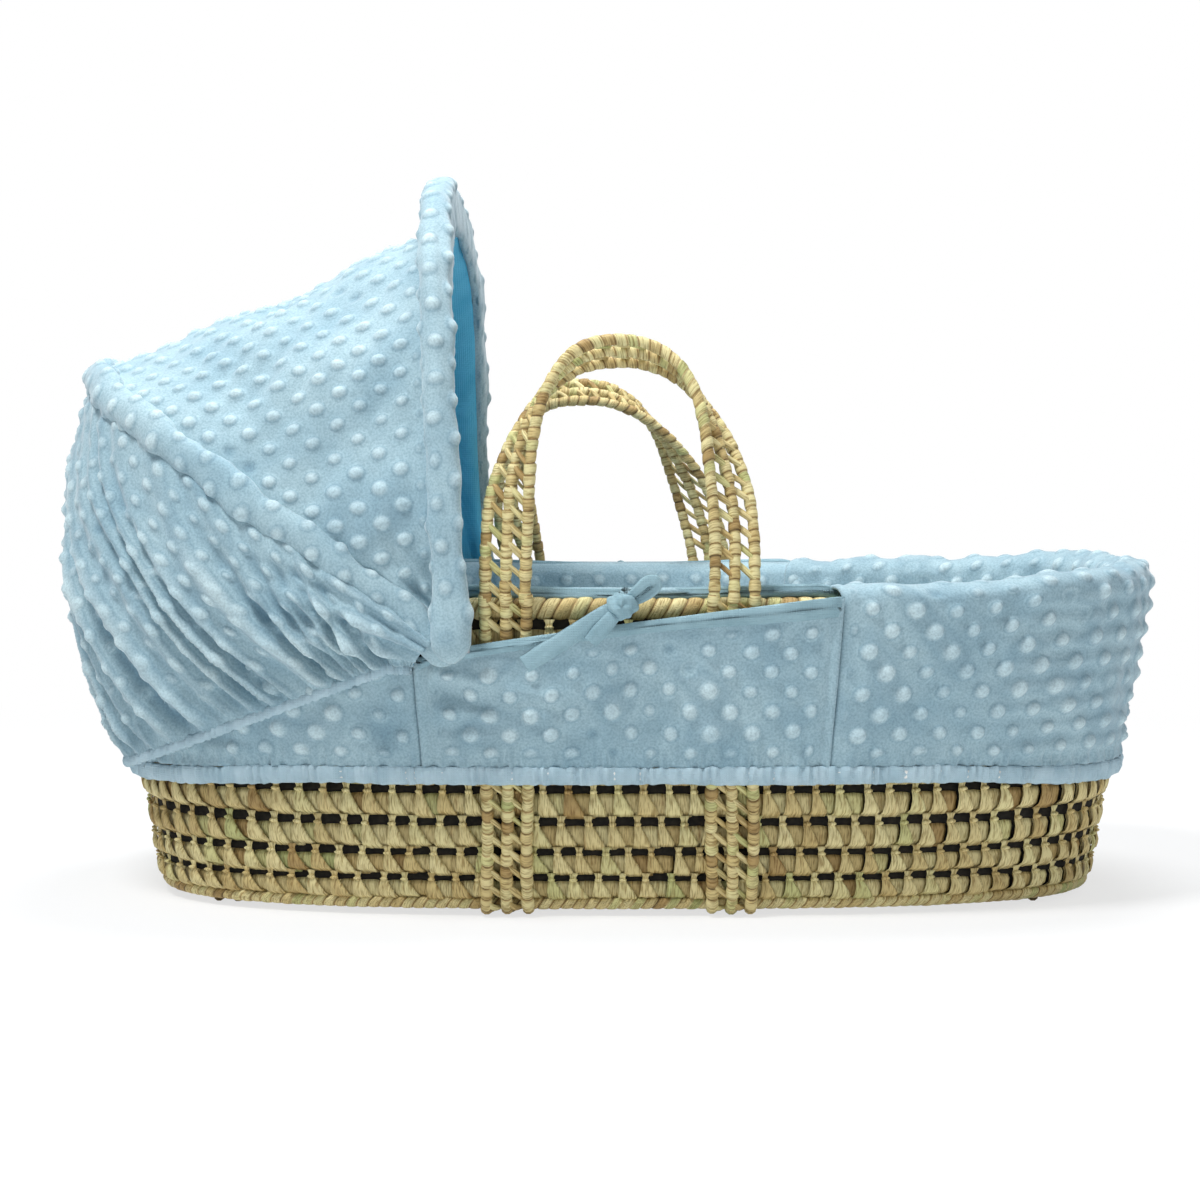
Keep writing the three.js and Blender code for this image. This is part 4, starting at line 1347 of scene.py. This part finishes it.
def top_relief(u, v):
    """The top's dots, and the slack, the folds that fan out from the pivots, and the sag."""
    s = cloth_share(u) * HOOP_LENGTH
    t = even_u(cloth_share(u))
    width = hoop_rise(t) * 330.0
    b = width * (v - 0.5) * 0.9
    lean = math.radians(24)
    margin = smooth(width * v, 8, 22) * smooth(width * (1 - v), 12, 26)
    across, along = math.cos(lean), math.sin(lean)
    raised = dots(s * across + b * along, b * across - s * along, 50) * margin
    tight = np.sin(math.pi * v) ** 0.7
    slack = (4.6 * drift(s, b, 120.0, 51) + 1.4 * drift(s - b, 0.3 * (s + b), 42.0, 52)) * tight
    reach = from_foot(s)
    rays = 3.0 * np.cos(2 * math.pi * (v * 3.2 + 0.25 * np.sin(reach / 40.0)))
    rays = rays * bell(reach, 120.0) * smooth(reach, 14, 50)
    sag = 5.0 * np.sin(math.pi * v) * smooth(hoop_rise(t), 0.2, 0.9)
    return raised, slack + rays - sag


def hood_top():
    def place(u, v):
        raised, slack = top_relief(u, v)
        normal = -cloth_normals(top_surface, u, v)
        lift = DOT_HEIGHT * raised + slack
        # The slack's depth is added to the fact, so the plush paints shade in its hollows and light on
        # its crests.
        facts = {"fold": v, "raised": raised + 0.02 * slack}
        return top_surface(u, v) + normal * lift[:, None], facts

    return patch("hood_top", 400, 104, place, turned=True)


def hood_top_lining():
    def place(u, v):
        # It starts a little behind the rear hoop, and passes inside the ridge's padding there.
        v = 1.01 * v - 0.01
        normal = -cloth_normals(top_surface, u, v)
        slack = -8.0 + 1.5 * drift(u * 900, v * 200, 130.0, 55) - 4.0 * np.sin(math.pi * np.clip(v, 0, 1))
        slack = slack - 10.0 * bell(v, 0.1)
        t = even_u(cloth_share(u))
        deep = facing_depth(t)
        lean = facing_lean(cloth_share(u), 0.8, deep)
        facing = roll_section(FRONT_ANGLE, FRONT_REACH, FRONT_HALF_WIDTH, t, -22.0 * deep - 1.5, lean)
        front = smooth(v, 0.8, 1.0)[:, None]
        round_facing = (-7.0 * np.sin(math.pi * front[:, 0]))[:, None]
        point = top_surface(u, v) + normal * slack[:, None]
        return point * (1 - front) + facing * front + normal * round_facing, {"fold": np.clip(v, 0, 1)}

    return patch("hood_top_lining", 160, 44, place, turned=True)


def hood_edge(u, offset):
    """The hood's drawn lower edge: low round the head end, rising to the pivots."""
    angle = math.pi + HOOD_EDGE_TURN * np.cos(math.pi * u)
    offset = offset - SKIRT_TAPER * np.sin(math.pi * u) ** 2
    point = outline(angle, offset, 150.0)
    along = np.abs(point[:, 0] - BASKET_X) / (BASE_HALF_LENGTH + 24 + offset)
    share = np.clip((1 - along) / 0.58, 0, 1)
    z = HOOD_EDGE_LOW + (HOOD_EDGE_HIGH - HOOD_EDGE_LOW) * share
    point = outline(angle, offset, z)
    point[:, 2] = z
    return point


def rear_surface(u, v):
    """The hood's back, from the rear hoop down to the drawn edge. v is 0 at the hoop."""
    t = cloth_share(u)
    top = on_hoop(REAR_ANGLE, REAR_REACH + 1.0, REAR_HALF_WIDTH + 1.0, even_u(t))
    bottom = hood_edge(t, HOOD_EDGE_OFFSET + 1.0)
    swing = np.sin(math.pi * u)
    bulge = np.stack([-34.0 * swing, -15.0 * np.cos(math.pi * u), 0 * u], axis=-1)
    return top + (bottom - top) * v[:, None] + bulge * np.sin(math.pi * v**0.9)[:, None]


def rear_relief(u, v):
    """The back's dots, and the folds that run slanting from the ridge to the drawn edge."""
    s = cloth_share(u) * HOOP_LENGTH
    reach = from_foot(s)
    depth = 60.0 + 260.0 * smooth(reach, 0, 330)
    b = depth * v
    raised = 0.85 * dots(reach + 0.35 * b, b - 0.35 * reach, 60) * smooth(b, 6, 20)
    raised = raised * smooth(depth - b, 16, 40) * smooth(reach, 24, 60)
    slant = reach + 0.72 * b + 9.0 * drift(s, b, 140.0, 61)
    middle = 1 - 0.75 * smooth(reach, 330, HOOP_LENGTH / 2)
    start = 0.25 + 0.75 * smooth(v, 0.05, 0.75)
    long_folds = 8.0 * gathers(slant, 34.0, 6) * start * smooth(v, 0.0, 0.12)
    long_folds = long_folds * smooth(reach, 20, 90) * middle
    fan = np.cos(2 * math.pi * (v * 3.6 + 0.5 * np.sin(reach / 90.0)))
    near_pivot = 3.6 * fan * bell(reach - 80.0, 80.0) * smooth(v, 0.05, 0.25)
    small = 1.9 * gathers(reach + 0.4 * b, 10.5, 7) * smooth(v, 0.8, 0.97)
    slack = 2.6 * drift(s, b, 110.0, 62) * np.sin(math.pi * v)
    calm = 1 - 0.85 * smooth(v, 0.93, 1.0)
    return raised, (long_folds + near_pivot * (1 - smooth(v, 0.8, 1)) + small + slack) * calm


def hood_rear():
    def place(u, v):
        raised, folds = rear_relief(u, v)
        normal = cloth_normals(rear_surface, u, v)
        lift = DOT_HEIGHT * raised + folds
        # The folds' depth is added to the fact, so the plush paints shade in their hollows and light on
        # their crests.
        facts = {"fold": 1 - v, "raised": raised + 0.08 * folds}
        return rear_surface(u, v) + normal * lift[:, None], facts

    return patch("hood_rear", 400, 116, place)


def hood_edge_cord():
    """The elastic in its casing along the hood's lower edge, pleated tight."""

    def place(u, v):
        spin = 2 * math.pi * v
        s = u * 900.0
        ruffle = 0.9 * gathers(s, 6.5, 9)
        base = hood_edge(cloth_share(u), HOOD_EDGE_OFFSET + (2.6 + ruffle) * np.cos(spin))
        base[:, 2] += (4.4 + ruffle) * np.sin(spin) - 1.0
        return base

    return patch("hood_edge", 640, 10, place, wrap=True)


def fold_between(made):
    """Bakes the cloth's place into its mesh and reads each point's fold share; the shares are not used
    further.
    """
    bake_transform(made)
    shares = np.empty(len(made.data.vertices), dtype=np.float32)
    made.data.attributes["fold"].data.foreach_get("value", shares)


def make_hood():
    piece("plush_front_roll", [front_roll()], [PLUSH], "front_hoop", ["front_hoop_casing"])
    piece("plush_rear_roll", [rear_roll()], [PLUSH], "rear_hoop", ["rear_hoop_casing"])
    top = piece("plush_hood_top", [hood_top()], [PLUSH], None, ["hood_top_panel"],
                wall_thickness=PLUSH_THICKNESS)
    inner = piece("blue_hood_lining", [hood_top_lining()], [LINING], None, ["hood_inner_lining"],
                  wall_thickness=HOOD_LINING_THICKNESS)
    back = piece("plush_hood_back", [hood_rear()], [PLUSH], None, ["hood_rear_panel"],
                 wall_thickness=PLUSH_THICKNESS, inner=LINING)
    edge = piece("gathered_hood_edge", [hood_edge_cord()], [BINDING], "basket", ["hood_edge_elastic"])
    fold_between(top)
    fold_between(inner)
    fold_between(back)


# The CAD's own pieces that show or lie inside


def finish_cad_nodes():
    looks = {
        STEEL: ["front_hoop_wire", "rear_hoop_wire", "near_hood_rivet", "far_hood_rivet",
                "near_hood_bracket", "far_hood_bracket"],
        FOAM: ["mattress_core"],
        LINING: ["floor_cloth"],
    }
    for material, names in looks.items():
        for name in names:
            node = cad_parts[name]
            node.data.materials.clear()
            node.data.materials.append(material)


# Camera, light and floor


def make_camera():
    data = bpy.data.cameras.new("camera")
    data.sensor_width = CAMERA_SENSOR
    data.lens = CAMERA_LENS
    camera = bpy.data.objects.new("camera", data)
    camera.location = CAMERA_PLACE
    camera.rotation_euler = (math.radians(90 - CAMERA_TILT), 0, 0)
    bpy.context.scene.collection.objects.link(camera)
    bpy.context.scene.camera = camera


def make_lamp(name, place, target, size, watts):
    data = bpy.data.lights.new(name, "AREA")
    data.shape = "DISK"
    data.size = size
    data.energy = watts
    lamp = bpy.data.objects.new(name, data)
    lamp.location = place
    lamp.rotation_euler = (Vector(target) - Vector(place)).to_track_quat("-Z", "Y").to_euler()
    bpy.context.scene.collection.objects.link(lamp)


def plainly_seen(tree):
    """1 for a ray from the camera, a glossy ray or one let through, which meet plain white."""
    path = add_node(tree, "ShaderNodeLightPath")
    total = path.outputs["Is Camera Ray"]
    for kind in ("Is Glossy Ray", "Is Transmission Ray"):
        both = {0: total, 1: path.outputs[kind]}
        total = add_node(tree, "ShaderNodeMath", both, operation="ADD", use_clamp=True).outputs[0]
    return total


def make_world():
    """A soft even light, seen as plain white."""
    world = bpy.data.worlds.new("studio")
    bpy.context.scene.world = world
    world.use_nodes = True
    tree = world.node_tree
    tree.nodes.clear()
    lit = add_node(tree, "ShaderNodeBackground", {"Color": linear("#E6F0FA"), "Strength": 0.30})
    seen = add_node(tree, "ShaderNodeBackground", {"Color": (1, 1, 1, 1), "Strength": 1.0})
    either = add_node(
        tree, "ShaderNodeMixShader",
        {"Fac": plainly_seen(tree), 1: lit.outputs[0], 2: seen.outputs[0]},
    )
    add_node(tree, "ShaderNodeOutputWorld", {"Surface": either.outputs[0]})


def floor_paper():
    """White paper, which takes the basket's shadow close by and is plain white further off."""
    material = bpy.data.materials.new("floor_paper")
    material.use_nodes = True
    tree = material.node_tree
    tree.nodes.clear()
    paper = add_node(tree, "ShaderNodeBsdfDiffuse", {"Color": linear("#F2F2F2")})
    white = add_node(tree, "ShaderNodeEmission", {"Color": (1, 1, 1, 1), "Strength": 1.0})
    place = add_node(tree, "ShaderNodeTexCoord").outputs["Object"]
    away = add_node(tree, "ShaderNodeVectorMath", {0: place}, operation="LENGTH").outputs["Value"]
    plain = add_node(
        tree, "ShaderNodeMapRange",
        {"Value": away, "From Min": 0.5, "From Max": 1.5, "To Min": 0.7, "To Max": 1.0},
    )
    both = {0: plainly_seen(tree), 1: plain.outputs["Result"]}
    share = add_node(tree, "ShaderNodeMath", both, operation="MULTIPLY")
    either = add_node(
        tree, "ShaderNodeMixShader",
        {"Fac": share.outputs[0], 1: paper.outputs[0], 2: white.outputs[0]},
    )
    add_node(tree, "ShaderNodeOutputMaterial", {"Surface": either.outputs[0]})
    return material


def make_floor():
    bm = bmesh.new()
    bmesh.ops.create_grid(bm, x_segments=1, y_segments=1, size=FLOOR_HALF_WIDTH)
    mesh = to_mesh(bm, "floor")
    mesh.materials.append(floor_paper())
    floor = bpy.data.objects.new("floor", mesh)
    bpy.context.scene.collection.objects.link(floor)


def make_stage():
    make_world()
    make_floor()
    for name, (place, target, size, watts) in LAMPS.items():
        make_lamp(name, place, target, size, watts)
    bpy.context.scene.view_settings.view_transform = "Standard"


make_camera()
make_stage()
make_wall()
make_rim_and_base()
make_straps()
make_runners()
make_handles()
make_cover()
make_lining()
make_mattress()
make_ties()
make_hood()
finish_cad_nodes()
